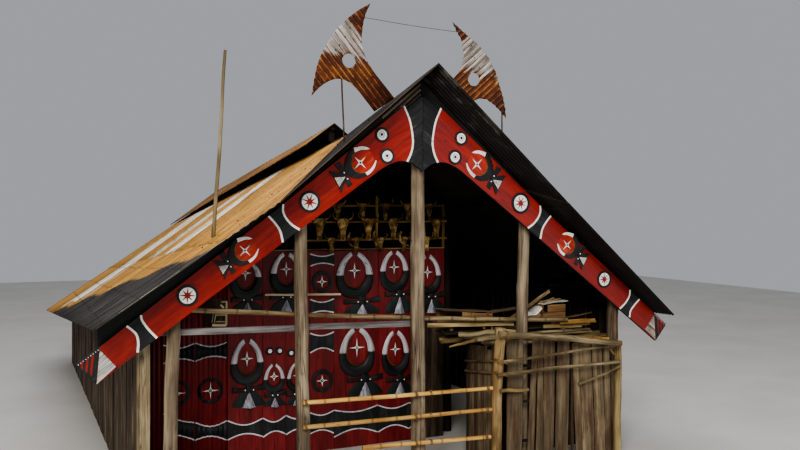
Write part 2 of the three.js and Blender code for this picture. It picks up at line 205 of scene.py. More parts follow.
def wood(name, tones, crack=0.5, stain=None, rough=(0.72, 0.92), bump=0.6, vary=0.35, knots=False):
    """Weathered timber: long fibres, bands, drying cracks, stains and a per-piece tone."""
    n = Mat(name)
    g, r = n.vec("g"), n.num("r")
    fib = n.noise(g, (2.2, 90, 90), 5, 0.62)
    band = n.noise(g, (0.7, 11, 11), 4, 0.55, 0.3)
    blot = n.noise(g, (1.6, 3.2, 3.2), 3, 0.5, 0.2, (5, 3, 1))
    col = n.ramp(n.math("ADD", n.math("MULTIPLY", band, 0.62), n.math("MULTIPLY", blot, 0.38)),
                 [(0.30, tones[0]), (0.47, tones[1]), (0.62, tones[2])])
    col = n.mix(0.75, col, n.ramp(fib, [(0.30, 0.42), (0.52, 0.88), (0.70, 1.12)]), "MULTIPLY")
    tone = n.ramp(r, [(0.0, 1.0 - vary), (0.5, 1.0), (1.0, 1.0 + vary * 0.55)])
    col = n.mix(1.0, col, tone, "MULTIPLY")
    cr = n.cracks(n.comb(*[n.math("ADD", o, n.math("MULTIPLY", blot, 0.02)) for o in n.sep(g)]), (0.9, 26, 26))
    crm = n.ramp(cr, [(0.0, 1.0), (0.035, 0.35), (0.07, 0.0)])
    crk = n.math("MULTIPLY", crm, n.ramp(n.noise(g, (0.8, 6, 6), 2, 0.5, 0, (9, 2, 4)), [(0.42, 0.0), (0.6, crack)]))
    col = n.mix(crk, col, tuple(x * 0.16 for x in tones[0][:3]) + (1.0,))
    if stain is not None:
        st = n.ramp(n.noise(g, (1.1, 5, 5), 4, 0.6, 0.4, (1, 8, 3)), [(0.48, 0.0), (0.66, 0.85)])
        col = n.mix(st, col, stain)
    if knots:
        kn = n.ramp(n.cells(g, (3.2, 9, 9), (3, 3, 3)), [(0.06, 1.0), (0.15, 0.0)])
        col = n.mix(n.math("MULTIPLY", kn, 0.7), col, tuple(x * 0.3 for x in tones[0][:3]) + (1.0,))
    h = n.math("ADD", n.math("MULTIPLY", fib, 0.6), n.math("MULTIPLY", n.noise(g, (1.4, 30, 30), 3, 0.5, 0, (2, 2, 2)), 0.6))
    h = n.math("SUBTRACT", h, n.math("MULTIPLY", crk, 1.4))
    ro = n.ramp(fib, [(0.3, rough[1]), (0.7, rough[0])])
    return n.done(col, ro, n.bump(h, bump, 0.006), 0.0, 0.25)


def paint(name, base, deep, light, under, wear=0.5, gloss=(0.38, 0.62), grain=1.0, dirt=0.35):
    """Brushed paint on timber: uneven coats, sun fading, dirt, worn and cracked spots."""
    n = Mat(name)
    g, r = n.vec("g"), n.num("r")
    fib = n.noise(g, (2.4, 75, 75), 5, 0.6)
    coat = n.noise(g, (1.5, 5, 5), 4, 0.6, 0.5)
    brush = n.noise(g, (1.6, 34, 34), 3, 0.55, 0.1, (4, 1, 7))
    col = n.ramp(n.math("ADD", n.math("MULTIPLY", coat, 0.65), n.math("MULTIPLY", brush, 0.35)),
                 [(0.32, deep), (0.50, base), (0.68, light)])
    col = n.mix(1.0, col, n.ramp(r, [(0.0, 0.80), (0.5, 1.0), (1.0, 1.14)]), "MULTIPLY")
    dm = n.ramp(n.noise(g, (0.9, 9, 9), 5, 0.65, 0.3, (8, 8, 2)), [(0.50, 0.0), (0.72, dirt)])
    col = n.mix(dm, col, srgb(38, 30, 26))
    wm = n.math("ADD", n.math("MULTIPLY", fib, 0.55), n.math("MULTIPLY", n.noise(g, (3.2, 12, 12), 5, 0.7, 0.2, (3, 6, 9)), 0.45))
    wm = n.ramp(wm, [(0.64 - wear * 0.06, 0.0), (0.68 - wear * 0.05, 1.0)])
    col = n.mix(n.math("MULTIPLY", wm, 0.85), col, under)
    cr = n.cracks(g, (0.8, 15, 15), (2, 5, 8))
    crm = n.math("MULTIPLY", n.ramp(cr, [(0.0, 1.0), (0.022, 0.0)]),
                 n.ramp(n.noise(g, (0.7, 4, 4), 2, 0.5, 0, (6, 6, 6)), [(0.48, 0.0), (0.58, 0.8)]))
    col = n.mix(crm, col, srgb(22, 14, 12))
    h = n.math("ADD", n.math("MULTIPLY", fib, 0.5), n.math("MULTIPLY", brush, 0.5))
    h = n.math("SUBTRACT", h, n.math("MULTIPLY", wm, 0.4))
    h = n.math("SUBTRACT", h, crm)
    ro = n.ramp(n.math("ADD", coat, n.math("MULTIPLY", wm, 0.3)), [(0.35, gloss[0]), (0.75, gloss[1])])
    return n.done(col, ro, n.bump(h, 0.38 * grain, 0.004), 0.0, 0.35)


def iron(name, rust, dark, pale, tan, metal=0.25, rough=(0.42, 0.75), bumpy=0.35, base_t=0.0):
    """Corrugated iron: rust, tan bloom, bare zinc streaks down the slope; attribute t picks the tone of a sheet, high t
    for bare zinc and negative t for dark grey, which also lays painted shadow.
    """
    n = Mat(name)
    g, r, t = n.vec("g"), n.num("r"), n.num("t")
    st = n.noise(g, (0.55, 11, 2), 5, 0.62, 0.15)
    st2 = n.noise(g, (0.9, 26, 2), 4, 0.6, 0.1, (7, 3, 0))
    bl = n.noise(g, (2.4, 3.5, 2), 5, 0.65, 0.4, (2, 9, 0))
    fine = n.noise(g, (40, 60, 40), 4, 0.7)
    rc = n.ramp(n.math("ADD", n.math("MULTIPLY", st, 0.5), n.math("MULTIPLY", bl, 0.5)),
                [(0.31, dark), (0.44, rust), (0.58, tan), (0.76, pale)])
    rc = n.mix(0.42, rc, n.ramp(st2, [(0.32, 0.62), (0.6, 1.12)]), "MULTIPLY")
    rc = n.mix(0.35, rc, n.ramp(fine, [(0.35, 0.6), (0.65, 1.2)]), "MULTIPLY")
    zinc = n.ramp(n.math("ADD", st, n.math("MULTIPLY", fine, 0.2)), [(0.40, srgb(222, 212, 192)), (0.58, srgb(255, 249, 236))])
    zm = n.math("ADD", t, n.math("MULTIPLY", n.math("SUBTRACT", n.math("ADD", n.math("MULTIPLY", st, 0.6), n.math("MULTIPLY", bl, 0.4)), 0.5), 2.6))
    zmask = n.ramp(zm, [(0.55, 0.0), (0.72, 1.0)])
    col = n.mix(zmask, rc, zinc)
    # negative t turns sheets dark grey: older grey sheets, and the painted shadow on the left slope's lower front
    # corner
    dk = n.math("ADD", n.math("MULTIPLY", t, -1.0), n.math("MULTIPLY", n.math("SUBTRACT", bl, 0.5), 1.6))
    grey_sheet_and_shadow_mask = n.ramp(dk, [(0.35, 0.0), (0.62, 1.0)])
    grey = n.ramp(st2, [(0.34, srgb(24, 23, 23)), (0.50, srgb(58, 55, 54)), (0.68, srgb(108, 102, 94))])
    col = n.mix(grey_sheet_and_shadow_mask, col, grey)
    col = n.mix(1.0, col, n.ramp(r, [(0.0, 0.72), (1.0, 1.12)]), "MULTIPLY")
    ro = n.ramp(n.math("ADD", zmask, n.math("MULTIPLY", fine, 0.3)), [(0.1, rough[1]), (1.1, rough[0])])
    h = n.math("ADD", n.math("MULTIPLY", fine, 0.5), n.math("MULTIPLY", bl, 0.8))
    return n.done(col, ro, n.bump(h, bumpy, 0.004), metal, 0.4)


M = {}
M["post"] = wood("post_timber", (srgb(62, 53, 45), srgb(120, 104, 85), srgb(170, 153, 128)), crack=0.95, rough=(0.7, 0.9), bump=0.8, vary=0.2, knots=True)
M["plank"] = wood("grey_plank", (srgb(52, 42, 33), srgb(104, 86, 66), srgb(150, 132, 106)), crack=0.8, stain=srgb(66, 40, 30), bump=0.8, vary=0.45)
M["rail"] = wood("silver_plank", (srgb(66, 62, 61), srgb(112, 107, 106), srgb(154, 149, 147)), crack=0.7, bump=0.6, vary=0.2)
M["old"] = wood("sooty_timber", (srgb(16, 13, 11), srgb(34, 28, 23), srgb(58, 47, 38)), crack=0.6, bump=0.6, vary=0.4)
M["wallplank"] = wood("side_wall_plank", (srgb(48, 38, 30), srgb(92, 75, 58), srgb(134, 116, 92)), crack=0.8, stain=srgb(58, 38, 28), bump=0.8, vary=0.42)
M["yellowplank"] = wood("yellow_plank", (srgb(84, 68, 42), srgb(140, 118, 80), srgb(184, 164, 122)), crack=0.6, bump=0.6, vary=0.3)
M["log"] = wood("stripped_pole", (srgb(78, 62, 38), srgb(140, 118, 78), srgb(188, 168, 124)), crack=0.8, stain=srgb(70, 52, 32), bump=0.7, vary=0.4)
M["cornerpost"] = wood("corner_post_timber", (srgb(84, 66, 38), srgb(146, 118, 76), srgb(196, 170, 122)), crack=0.8, stain=srgb(86, 62, 34), bump=0.8, vary=0.2)
M["rail_log"] = wood("weathered_pole", (srgb(66, 56, 40), srgb(118, 104, 76), srgb(170, 155, 122)), crack=0.9, stain=srgb(72, 56, 36), bump=0.8, vary=0.35)
M["splitplank"] = wood("split_board", (srgb(92, 66, 32), srgb(148, 110, 56), srgb(190, 150, 88)), crack=0.7, stain=srgb(96, 62, 32), bump=0.7, vary=0.3)
M["palesheet"] = wood("pale_sheet", (srgb(164, 158, 150), srgb(204, 200, 194), srgb(230, 228, 222)), crack=0.2, bump=0.3, vary=0.15)
M["rafter"] = paint("black_rafter_paint", srgb(20, 20, 21), srgb(9, 9, 10), srgb(42, 41, 40), srgb(70, 60, 50), wear=0.5, gloss=(0.55, 0.8), grain=1.2, dirt=0.1)
M["black"] = paint("black_paint", srgb(25, 26, 28), srgb(12, 12, 13), srgb(50, 52, 54), srgb(92, 82, 70), wear=0.2, gloss=(0.45, 0.7), dirt=0.1)
M["grey_black"] = paint("faded_black_paint", srgb(28, 28, 31), srgb(14, 14, 16), srgb(58, 59, 62), srgb(96, 88, 78), wear=0.8, gloss=(0.55, 0.8), grain=1.6, dirt=0.1)
M["red"] = paint("red_paint", srgb(138, 26, 18), srgb(98, 13, 10), srgb(160, 44, 29), srgb(84, 38, 28), wear=0.35, gloss=(0.34, 0.55), grain=0.9, dirt=0.18)
M["wallred"] = paint("crimson_paint", srgb(114, 25, 27), srgb(76, 13, 16), srgb(138, 42, 42), srgb(84, 40, 32), wear=0.35, gloss=(0.4, 0.65), dirt=0.4)
M["white"] = paint("white_paint", srgb(244, 241, 234), srgb(216, 210, 200), srgb(252, 250, 245), srgb(150, 134, 112), wear=0.3, gloss=(0.4, 0.6), dirt=0.22)
M["wallwhite"] = paint("chalky_paint", srgb(210, 208, 212), srgb(170, 168, 174), srgb(228, 226, 230), srgb(110, 100, 92), wear=0.8, gloss=(0.5, 0.7), dirt=0.4)
M["carved"] = paint("dark_carving", srgb(28, 31, 32), srgb(12, 14, 15), srgb(56, 62, 62), srgb(74, 62, 50), wear=0.5, gloss=(0.42, 0.7), grain=1.8, dirt=0.1)
M["lip"] = wood("bare_carved_edge", (srgb(70, 40, 22), srgb(122, 78, 44), srgb(156, 110, 66)), crack=0.3, bump=0.5, vary=0.2)
M["iron"] = iron("rusted_sheets", srgb(184, 132, 64), srgb(116, 76, 36), srgb(240, 204, 134), srgb(212, 164, 90))
M["vent"] = iron("vent_sheets", srgb(140, 96, 56), srgb(84, 56, 36), srgb(206, 170, 120), srgb(176, 132, 84))
M["dark"] = iron("dark_sheets", srgb(34, 29, 26), srgb(20, 18, 17), srgb(92, 78, 64), srgb(56, 48, 42), metal=0.2, rough=(0.5, 0.72))
# a much lighter copy of the underside sheets for the left prow: painted light, so its ribs read in the dim light under
# the overhang
M["lightened_underside"] = iron("verge_underside", srgb(124, 104, 86), srgb(70, 58, 48), srgb(186, 162, 134), srgb(150, 128, 106), metal=0.1, rough=(0.55, 0.75))
M["peakstrip"] = wood("peak_strip", (srgb(66, 57, 50), srgb(124, 107, 93), srgb(168, 150, 132)), crack=0.7, bump=0.8, vary=0.3)
M["under"] = iron("sooty_underside", srgb(26, 23, 21), srgb(14, 13, 12), srgb(48, 43, 38), srgb(34, 30, 27), metal=0.1, rough=(0.6, 0.8))


# ---------------------------------------------------------------- mesh builder
class Piece:
    def __init__(self):
        self.V, self.F, self.M, self.G, self.R, self.T, self.S = [], [], [], [], [], [], []
        self.n = 0
        self.names = []

    def slot(self, key):
        if key not in self.names:
            self.names.append(key)
        return self.names.index(key)

    def add(self, V, F, mat, g=None, r=0.5, t=0.0, smooth=False):
        V = np.asarray(V, float).reshape(-1, 3)
        k = len(V)
        b = self.n
        self.V.append(V)
        if g is None:
            g = V
        self.G.append(np.asarray(g, float).reshape(-1, 3))
        self.R.append(np.full(k, r) if np.isscalar(r) else np.asarray(r, float))
        self.T.append(np.full(k, t) if np.isscalar(t) else np.asarray(t, float))
        self.F.extend([tuple(int(i) + b for i in f) for f in F])
        if isinstance(mat, str):
            self.M.extend([self.slot(mat)] * len(F))
        else:
            self.M.extend([self.slot(x) for x in mat])
        if isinstance(smooth, bool):
            self.S.extend([smooth] * len(F))
        else:
            self.S.extend(list(smooth))
        self.n += k

    def make(self, name, replaces=(), body="root", recalc=False):
        V = np.concatenate(self.V).copy()
        V[:, 1] -= SH
        me = bpy.data.meshes.new(name)
        me.from_pydata(V.tolist(), [], self.F)
        for k in self.names:
            me.materials.append(M[k])
        me.polygons.foreach_set("material_index", np.array(self.M, np.int32))
        me.polygons.foreach_set("use_smooth", np.array(self.S, bool))
        a = me.attributes.new("g", "FLOAT_VECTOR", "POINT")
        a.data.foreach_set("vector", np.concatenate(self.G).astype(np.float32).ravel())
        a = me.attributes.new("r", "FLOAT", "POINT")
        a.data.foreach_set("value", np.concatenate(self.R).astype(np.float32))
        a = me.attributes.new("t", "FLOAT", "POINT")
        a.data.foreach_set("value", np.concatenate(self.T).astype(np.float32))
        me.update()
        me.validate()
        ob = bpy.data.objects.new(name, me)
        scene.collection.objects.link(ob)
        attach(ob, body)
        if replaces:
            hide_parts(*([replaces] if isinstance(replaces, str) else list(replaces)))
        return ob


def unit(v):
    v = np.asarray(v, float)
    return v / np.linalg.norm(v)


def smooth_noise(rs, s, freqs=(1, 2, 4), amps=(1, 0.5, 0.25)):
    out = np.zeros_like(s)
    for f, a in zip(freqs, amps):
        out += a * np.sin(s * f * 2 * math.pi + rs.uniform(0, 6.283))
    return out / sum(amps)


def log(p, a, b, r0, r1, mat, seg=20, rings=18, rough=0.05, wander=0.4, seed=0, r=None, t=0.0, dome=0.15, knots=3, cut=0.0):
    """A round timber from a to b: wandering axis, fluted skin, knots and flat sawn ends."""
    rs = np.random.RandomState(seed + 11)
    a, b = np.asarray(a, float), np.asarray(b, float)
    L = np.linalg.norm(b - a)
    ax = (b - a) / L
    ref = np.array([0, 0, 1.0]) if abs(ax[2]) < 0.9 else np.array([1.0, 0, 0])
    u = unit(np.cross(ax, ref))
    v = np.cross(ax, u)
    s = np.linspace(0, 1, rings + 1)
    env = np.sin(np.pi * s)
    wx = smooth_noise(rs, s, (0.5, 1.3, 2.7)) * wander * r0 * env
    wy = smooth_noise(rs, s, (0.5, 1.1, 2.9)) * wander * r0 * env
    th = np.linspace(0, 2 * math.pi, seg, endpoint=False)
    rad = (r0 + (r1 - r0) * s)[:, None] * np.ones(seg)[None, :]
    for k in (2, 3, 5, 7):
        rad = rad * (1 + rough * rs.uniform(0.3, 1.0) / k ** 0.5 * np.cos(k * th[None, :] + rs.uniform(0, 6.28) + rs.uniform(-2, 2) * s[:, None] * L))
    rad = rad * (1 + rough * 0.5 * smooth_noise(rs, s, (3, 5, 8))[:, None])
    for _ in range(knots):
        sk, tk = rs.uniform(0.08, 0.92), rs.uniform(0, 6.28)
        dt = np.angle(np.exp(1j * (th[None, :] - tk)))
        ds = (s[:, None] - sk) * L / (r0 * 1.1)
        rad = rad + r0 * rs.uniform(0.06, 0.16) * np.exp(-(dt ** 2) / 0.12 - ds ** 2)
    rad = np.minimum(rad, max(r0, r1) * 1.13)
    pos = a[None, :] + ax[None, :] * (s * L)[:, None] + u[None, :] * wx[:, None] + v[None, :] * wy[:, None]
    P = pos[:, None, :] + u * (rad * np.cos(th))[..., None] + v * (rad * np.sin(th))[..., None]
    G = np.stack([np.broadcast_to((s * L)[:, None], rad.shape), rad * np.cos(th), rad * np.sin(th)], -1) + rs.uniform(-20, 20, 3)
    n = rings + 1
    F = []
    for i in range(rings):
        for j in range(seg):
            k = (j + 1) % seg
            F.append((i * seg + j, i * seg + k, (i + 1) * seg + k, (i + 1) * seg + j))
    sm = [True] * len(F)
    V = P.reshape(-1, 3)
    Gf = G.reshape(-1, 3)
    base = len(V)
    c0 = pos[0] - ax * r0 * dome
    c1 = pos[-1] + ax * r1 * dome
    if r is None:
        r = rs.uniform(0, 1)
    # flat sawn ends with their own ring of vertices, so that the rim stays sharp
    e0, e1 = P[0], P[-1]
    V = np.concatenate([V, e0, e1, [c0], [c1]])
    Gf = np.concatenate([Gf, G[0], G[-1], [G[0].mean(0)], [G[-1].mean(0)]])
    i0, i1, k0, k1 = base, base + seg, base + 2 * seg, base + 2 * seg + 1
    for j in range(seg):
        k = (j + 1) % seg
        F.append((i0 + k, i0 + j, k0))
        F.append((i1 + j, i1 + k, k1))
        sm += [False, False]
    p.add(V, F, mat, Gf, r, t, sm)


def bamboo(p, a, b, r0, r1, mat="bamboo", seg=14, gap=0.34, seed=0, sag=0.0):
    """A bamboo pole: swollen nodes with a fine ridge, slight bends at the nodes, hollow-looking cut ends."""
    rs = np.random.RandomState(seed + 71)
    a, b = np.asarray(a, float), np.asarray(b, float)
    L = np.linalg.norm(b - a)
    ax = (b - a) / L
    ref = np.array([0, 0, 1.0]) if abs(ax[2]) < 0.9 else np.array([1.0, 0, 0])
    u = unit(np.cross(ax, ref))
    v = np.cross(ax, u)
    node = [0.0]
    while node[-1] < L - gap * 0.7:
        node.append(node[-1] + gap * rs.uniform(0.8, 1.2))
    node = [x for x in node[1:] if x < L - 0.03]
    st = {0.0: 1.0, L: 1.0}
    for x in node:
        for d, f in ((-0.030, 1.0), (-0.010, 1.035), (-0.004, 1.10), (0.0, 1.12), (0.004, 1.07), (0.010, 1.05), (0.03, 0.985)):
            if 0 < x + d < L:
                st[x + d] = f
    ks = sorted(st)
    s = np.array(ks)
    f = np.array([st[k] for k in ks])
    off = np.zeros((len(s), 2))
    kn = np.array([0.0] + node + [L])
    o = np.cumsum(rs.normal(0, 0.0028, (len(kn), 2)), 0)
    o = o - o[0] - (o[-1] - o[0]) * (kn / L)[:, None]
    for c in range(2):
        off[:, c] = np.interp(s, kn, o[:, c])
    th = np.linspace(0, 2 * math.pi, seg, endpoint=False)
    rad = ((r0 + (r1 - r0) * s / L) * f)[:, None] * np.ones(seg)
    dz = -sag * np.sin(np.pi * s / L)
    pos = a + ax * s[:, None] + u * off[:, :1] + v * off[:, 1:]
    pos[:, 2] += dz
    P = pos[:, None, :] + u * (rad * np.cos(th))[..., None] + v * (rad * np.sin(th))[..., None]
    G = np.stack([np.broadcast_to(s[:, None], rad.shape), rad * np.cos(th), rad * np.sin(th)], -1) + rs.uniform(-20, 20, 3)
    T = np.zeros(rad.shape)
    for x in node:
        T = np.maximum(T, np.exp(-((s[:, None] - x) / 0.012) ** 2) * np.ones(seg))
    F = []
    for i in range(len(s) - 1):
        for j in range(seg):
            k = (j + 1) % seg
            F.append((i * seg + j, i * seg + k, (i + 1) * seg + k, (i + 1) * seg + j))
    sm = [True] * len(F)
    V, Gf, Tf = P.reshape(-1, 3), G.reshape(-1, 3), T.ravel()
    base = len(V)
    for end, ctr, sgn in ((P[0], pos[0], -1), (P[-1], pos[-1], 1)):
        inner = ctr + (end - ctr) * 0.72
        deep = inner - ax * sgn * 0.03
        k0 = len(V)
        V = np.concatenate([V, end, inner, deep, [ctr - ax * sgn * 0.03]])
        gg = np.concatenate([G[0]] * 3 + [[G[0].mean(0)]])
        Gf = np.concatenate([Gf, gg])
        # the cut ends get t = 0.8, the darker node colour; down in the hollow this is painted shade
        Tf = np.concatenate([Tf, np.full(3 * seg + 1, 0.8)])
        for j in range(seg):
            k = (j + 1) % seg
            q = [(k0 + j, k0 + k, k0 + seg + k, k0 + seg + j), (k0 + seg + j, k0 + seg + k, k0 + 2 * seg + k, k0 + 2 * seg + j),
                 (k0 + 2 * seg + j, k0 + 2 * seg + k, k0 + 3 * seg)]
            if sgn < 0:
                q = [tuple(reversed(x)) for x in q]
            F += q
            sm += [False, False, False]
    p.add(V, F, mat, Gf, rs.uniform(0, 1), Tf, sm)


def board(p, c0, c1, wdir, ndir, w, th, mat, seg=8, ch=0.003, seed=0, warp=0.003, edge=0.002, r=None, t=0.0, w1=None, s0=0.0, s1=0.0, cup=0.0, matb=None):
    """A sawn or split board from c0 to c1: chamfered, slightly warped, with uneven edges and slanting ends."""
    rs = np.random.RandomState(seed + 301)
    c0, c1 = np.asarray(c0, float), np.asarray(c1, float)
    wdir, ndir = unit(wdir), unit(ndir)
    L = np.linalg.norm(c1 - c0)
    ax = (c1 - c0) / L
    s = np.linspace(0, 1, seg + 1)
    w1 = w if w1 is None else w1
    W = w + (w1 - w) * s
    eL = smooth_noise(rs, s, (1, 2.3, 5)) * edge
    eR = smooth_noise(rs, s, (1, 2.7, 5)) * edge
    wp = smooth_noise(rs, s, (0.6, 1.4, 2.2)) * warp * np.sin(np.pi * s)
    h = th / 2
    V, G = [], []
    off = rs.uniform(-20, 20, 3)
    for i in range(seg + 1):
        l, rr = -W[i] / 2 + eL[i], W[i] / 2 + eR[i]
        sec = [(l, -h + ch), (l + ch, -h), (rr - ch, -h), (rr, -h + ch), (rr, h - ch), (rr - ch, h), (l + ch, h), (l, h - ch)]
        for x, y in sec:
            e = (s0 if i == 0 else s1 if i == seg else 0.0) * x
            cp = cup * ((2 * x / max(W[i], 1e-6)) ** 2 - 0.5)
            V.append(c0 + ax * (s[i] * L + e) + wdir * x + ndir * (y + wp[i] + cp))
            G.append((s[i] * L + off[0], x + off[1], y + off[2]))
    F = []
    for i in range(seg):
        for j in range(8):
            k = (j + 1) % 8
            F.append((i * 8 + j, i * 8 + k, (i + 1) * 8 + k, (i + 1) * 8 + j))
    F.append(tuple(range(7, -1, -1)))
    F.append(tuple(seg * 8 + j for j in range(8)))
    if np.dot(np.cross(wdir, ndir), ax) < 0:
        F = [tuple(reversed(f)) for f in F]
    if r is None:
        r = rs.uniform(0, 1)
    if matb:
        mat = [matb if i < seg * 8 and i % 8 == 1 else mat for i in range(len(F))]
    p.add(V, F, mat, G, r, t, False)


# ---------------------------------------------------------------- flat cut shapes
def area2(L):
    x, y = np.array(L).T
    return 0.5 * np.sum(x * np.roll(y, -1) - np.roll(x, -1) * y)


def in_loops(x, y, loops):
    c = False
    for L in loops:
        n = len(L)
        for i in range(n):
            x0, y0 = L[i]
            x1, y1 = L[(i + 1) % n]
            if (y0 > y) != (y1 > y) and x < (x1 - x0) * (y - y0) / (y1 - y0) + x0:
                c = not c
    return c


def triangulate(loops, extra=()):
    verts, edges = [], []
    for L in loops:
        b = len(verts)
        verts += [Vector(q) for q in L]
        edges += [(b + i, b + (i + 1) % len(L)) for i in range(len(L))]
    for s in extra:
        b = len(verts)
        verts += [Vector(q) for q in s]
        edges += [(b + i, b + i + 1) for i in range(len(s) - 1)]
    V, _, F, OV, _, _ = delaunay_2d_cdt(verts, edges, [], 0, 1e-7)
    pos = {}
    for i, src in enumerate(OV):
        for k in src:
            pos[k] = i
    keep = []
    for f in F:
        cx = sum(V[i][0] for i in f) / len(f)
        cy = sum(V[i][1] for i in f) / len(f)
        if in_loops(cx, cy, loops):
            a = sum(V[f[i]][0] * V[f[(i + 1) % len(f)]][1] - V[f[(i + 1) % len(f)]][0] * V[f[i]][1] for i in range(len(f)))
            keep.append(tuple(f) if a > 0 else tuple(reversed(f)))
    return np.array([tuple(v) for v in V]), keep, pos


def inset(L, d):
    P = np.array(L, float)
    e = np.roll(P, -1, 0) - P
    ln = np.linalg.norm(e, axis=1, keepdims=True)
    e = e / np.maximum(ln, 1e-9)
    nrm = np.stack([-e[:, 1], e[:, 0]], 1)        # inward for a counter-clockwise loop
    n0 = np.roll(nrm, 1, 0)
    m_ = nrm + n0
    den = 1 + np.sum(nrm * n0, 1, keepdims=True)
    off = m_ / np.maximum(den, 0.5)
    return P + off * d


def plate(p, outline, to3d, d0, d1, mat, holes=(), bev=0.0, steps=1, side=None, back=False, gmap=None, r=0.5, t=0.0, seed=0, shade=False):
    """A flat cut shape: outline in its own plane, from depth d0 to depth d1, with an eased front edge."""
    loops = []
    for k, L in enumerate([outline] + list(holes)):
        L = [tuple(q) for q in L]
        a = area2(L)
        if (k == 0 and a < 0) or (k > 0 and a > 0):
            L.reverse()
        loops.append(L)
    side = side or mat
    ring_sets = [[np.array(L) for L in loops]]
    depths = [d0]
    if bev > 0:
        for i in range(steps + 1):
            f = i / steps * math.pi / 2
            ring_sets.append([inset(L, bev * (1 - math.cos(f))) for L in loops])
            depths.append(d1 - bev * (1 - math.sin(f)))
    else:
        ring_sets.append([np.array(L) for L in loops])
        depths.append(d1)
    top = ring_sets[-1]
    V2, tris, pos = triangulate([[tuple(q) for q in L] for L in top])
    P, F, mt, sm = [], [], [], []
    P += [(x, y, d1) for x, y in V2]
    F += tris
    mt += [mat] * len(tris)
    sm += [shade] * len(tris)
    nl = len(ring_sets)
    base = len(P)
    count = [len(L) for L in loops]
    start = np.cumsum([0] + count)
    tot = start[-1]
    for k in range(nl - 1):
        for L in ring_sets[k]:
            P += [(x, y, depths[k]) for x, y in L]
    for k in range(nl - 1):
        for li, c in enumerate(count):
            for i in range(c):
                j = (i + 1) % c
                a_, b_ = base + k * tot + start[li] + i, base + k * tot + start[li] + j
                if k == nl - 2:
                    c_, d_ = pos[start[li] + j], pos[start[li] + i]
                else:
                    c_, d_ = b_ + tot, a_ + tot
                F.append((a_, b_, c_, d_))
                mt.append(side if k == 0 else mat)
                sm.append(shade if k else False)
    if back:
        Vb, tb, pb = triangulate([[tuple(q) for q in L] for L in loops])
        o = len(P)
        P += [(x, y, d0) for x, y in Vb]
        F += [tuple(i + o for i in reversed(f)) for f in tb]
        mt += [side] * len(tb)
        sm += [False] * len(tb)
    P = np.array(P, float)
    Q = to3d(P)
    q = to3d(np.array([[0, 0, 0.0], [1, 0, 0], [0, 1, 0], [0, 0, 1]]))
    if np.dot(np.cross(q[1] - q[0], q[2] - q[0]), q[3] - q[0]) < 0:
        F = [tuple(reversed(f)) for f in F]
    rs = np.random.RandomState(seed + 5)
    G = gmap(P) if gmap else P
    p.add(Q, F, mt, np.asarray(G) + rs.uniform(-5, 5, 3) * (0 if gmap else 1), r, t, sm)


def circle(cx, cy, rx, ry=None, n=40, ph=0.0):
    ry = rx if ry is None else ry
    return [(cx + rx * math.cos(ph + i * 2 * math.pi / n), cy + ry * math.sin(ph + i * 2 * math.pi / n)) for i in range(n)]


def star(cx, cy, R, r, n, rot=0.0, sy=1.0):
    out = []
    for i in range(2 * n):
        a = rot + i * math.pi / n
        q = R if i % 2 == 0 else r
        out.append((cx + q * math.cos(a), cy + q * math.sin(a) * sy))
    return out


def spline(pts, n=8, closed=False):
    """Catmull-Rom through the points."""
    P = [np.array(q, float) for q in pts]
    out = []
    m_ = len(P)
    rng_ = range(m_ if closed else m_ - 1)
    for i in rng_:
        p0 = P[(i - 1) % m_] if closed or i > 0 else 2 * P[0] - P[1]
        p1, p2 = P[i], P[(i + 1) % m_]
        p3 = P[(i + 2) % m_] if closed or i + 2 < m_ else 2 * P[-1] - P[-2]
        for k in range(n):
            t = k / n
            out.append(tuple(0.5 * ((2 * p1) + (-p0 + p2) * t + (2 * p0 - 5 * p1 + 4 * p2 - p3) * t * t + (-p0 + 3 * p1 - 3 * p2 + p3) * t ** 3)))
    if not closed:
        out.append(tuple(P[-1]))
    return out


def ribbon(pts, w, w1=None):
    """Outline of a band of width w along a line."""
    P = np.array(pts, float)
    T = np.gradient(P, axis=0)
    T /= np.linalg.norm(T, axis=1, keepdims=True)
    N_ = np.stack([-T[:, 1], T[:, 0]], 1)
    W = np.linspace(w, w if w1 is None else w1, len(P))[:, None] / 2
    return [tuple(q) for q in (P + N_ * W)] + [tuple(q) for q in (P - N_ * W)[::-1]]


# ---------------------------------------------------------------- corrugated sheets
def clip(poly, a, b, c):
    """Keeps the part of a convex polygon where a*x + b*y <= c."""
    out = []
    n = len(poly)
    for i in range(n):
        p0, p1 = poly[i], poly[(i + 1) % n]
        f0, f1 = a * p0[0] + b * p0[1] - c, a * p1[0] + b * p1[1] - c
        if f0 <= 0:
            out.append(p0)
        if (f0 < 0 < f1) or (f1 < 0 < f0):
            t = f0 / (f0 - f1)
            out.append((p0[0] + (p1[0] - p0[0]) * t, p0[1] + (p1[1] - p0[1]) * t))
    return out


def span(poly, u):
    """Lowest and highest s of a convex polygon (u, s) at u."""
    v = []
    n = len(poly)
    for i in range(n):
        (u0, s0), (u1, s1) = poly[i], poly[(i + 1) % n]
        if abs(u1 - u0) < 1e-9:
            if abs(u - u0) < 1e-7:
                v += [s0, s1]
            continue
        if min(u0, u1) - 1e-9 <= u <= max(u0, u1) + 1e-9:
            v.append(s0 + (s1 - s0) * (u - u0) / (u1 - u0))
    return (min(v), max(v)) if v else (None, None)


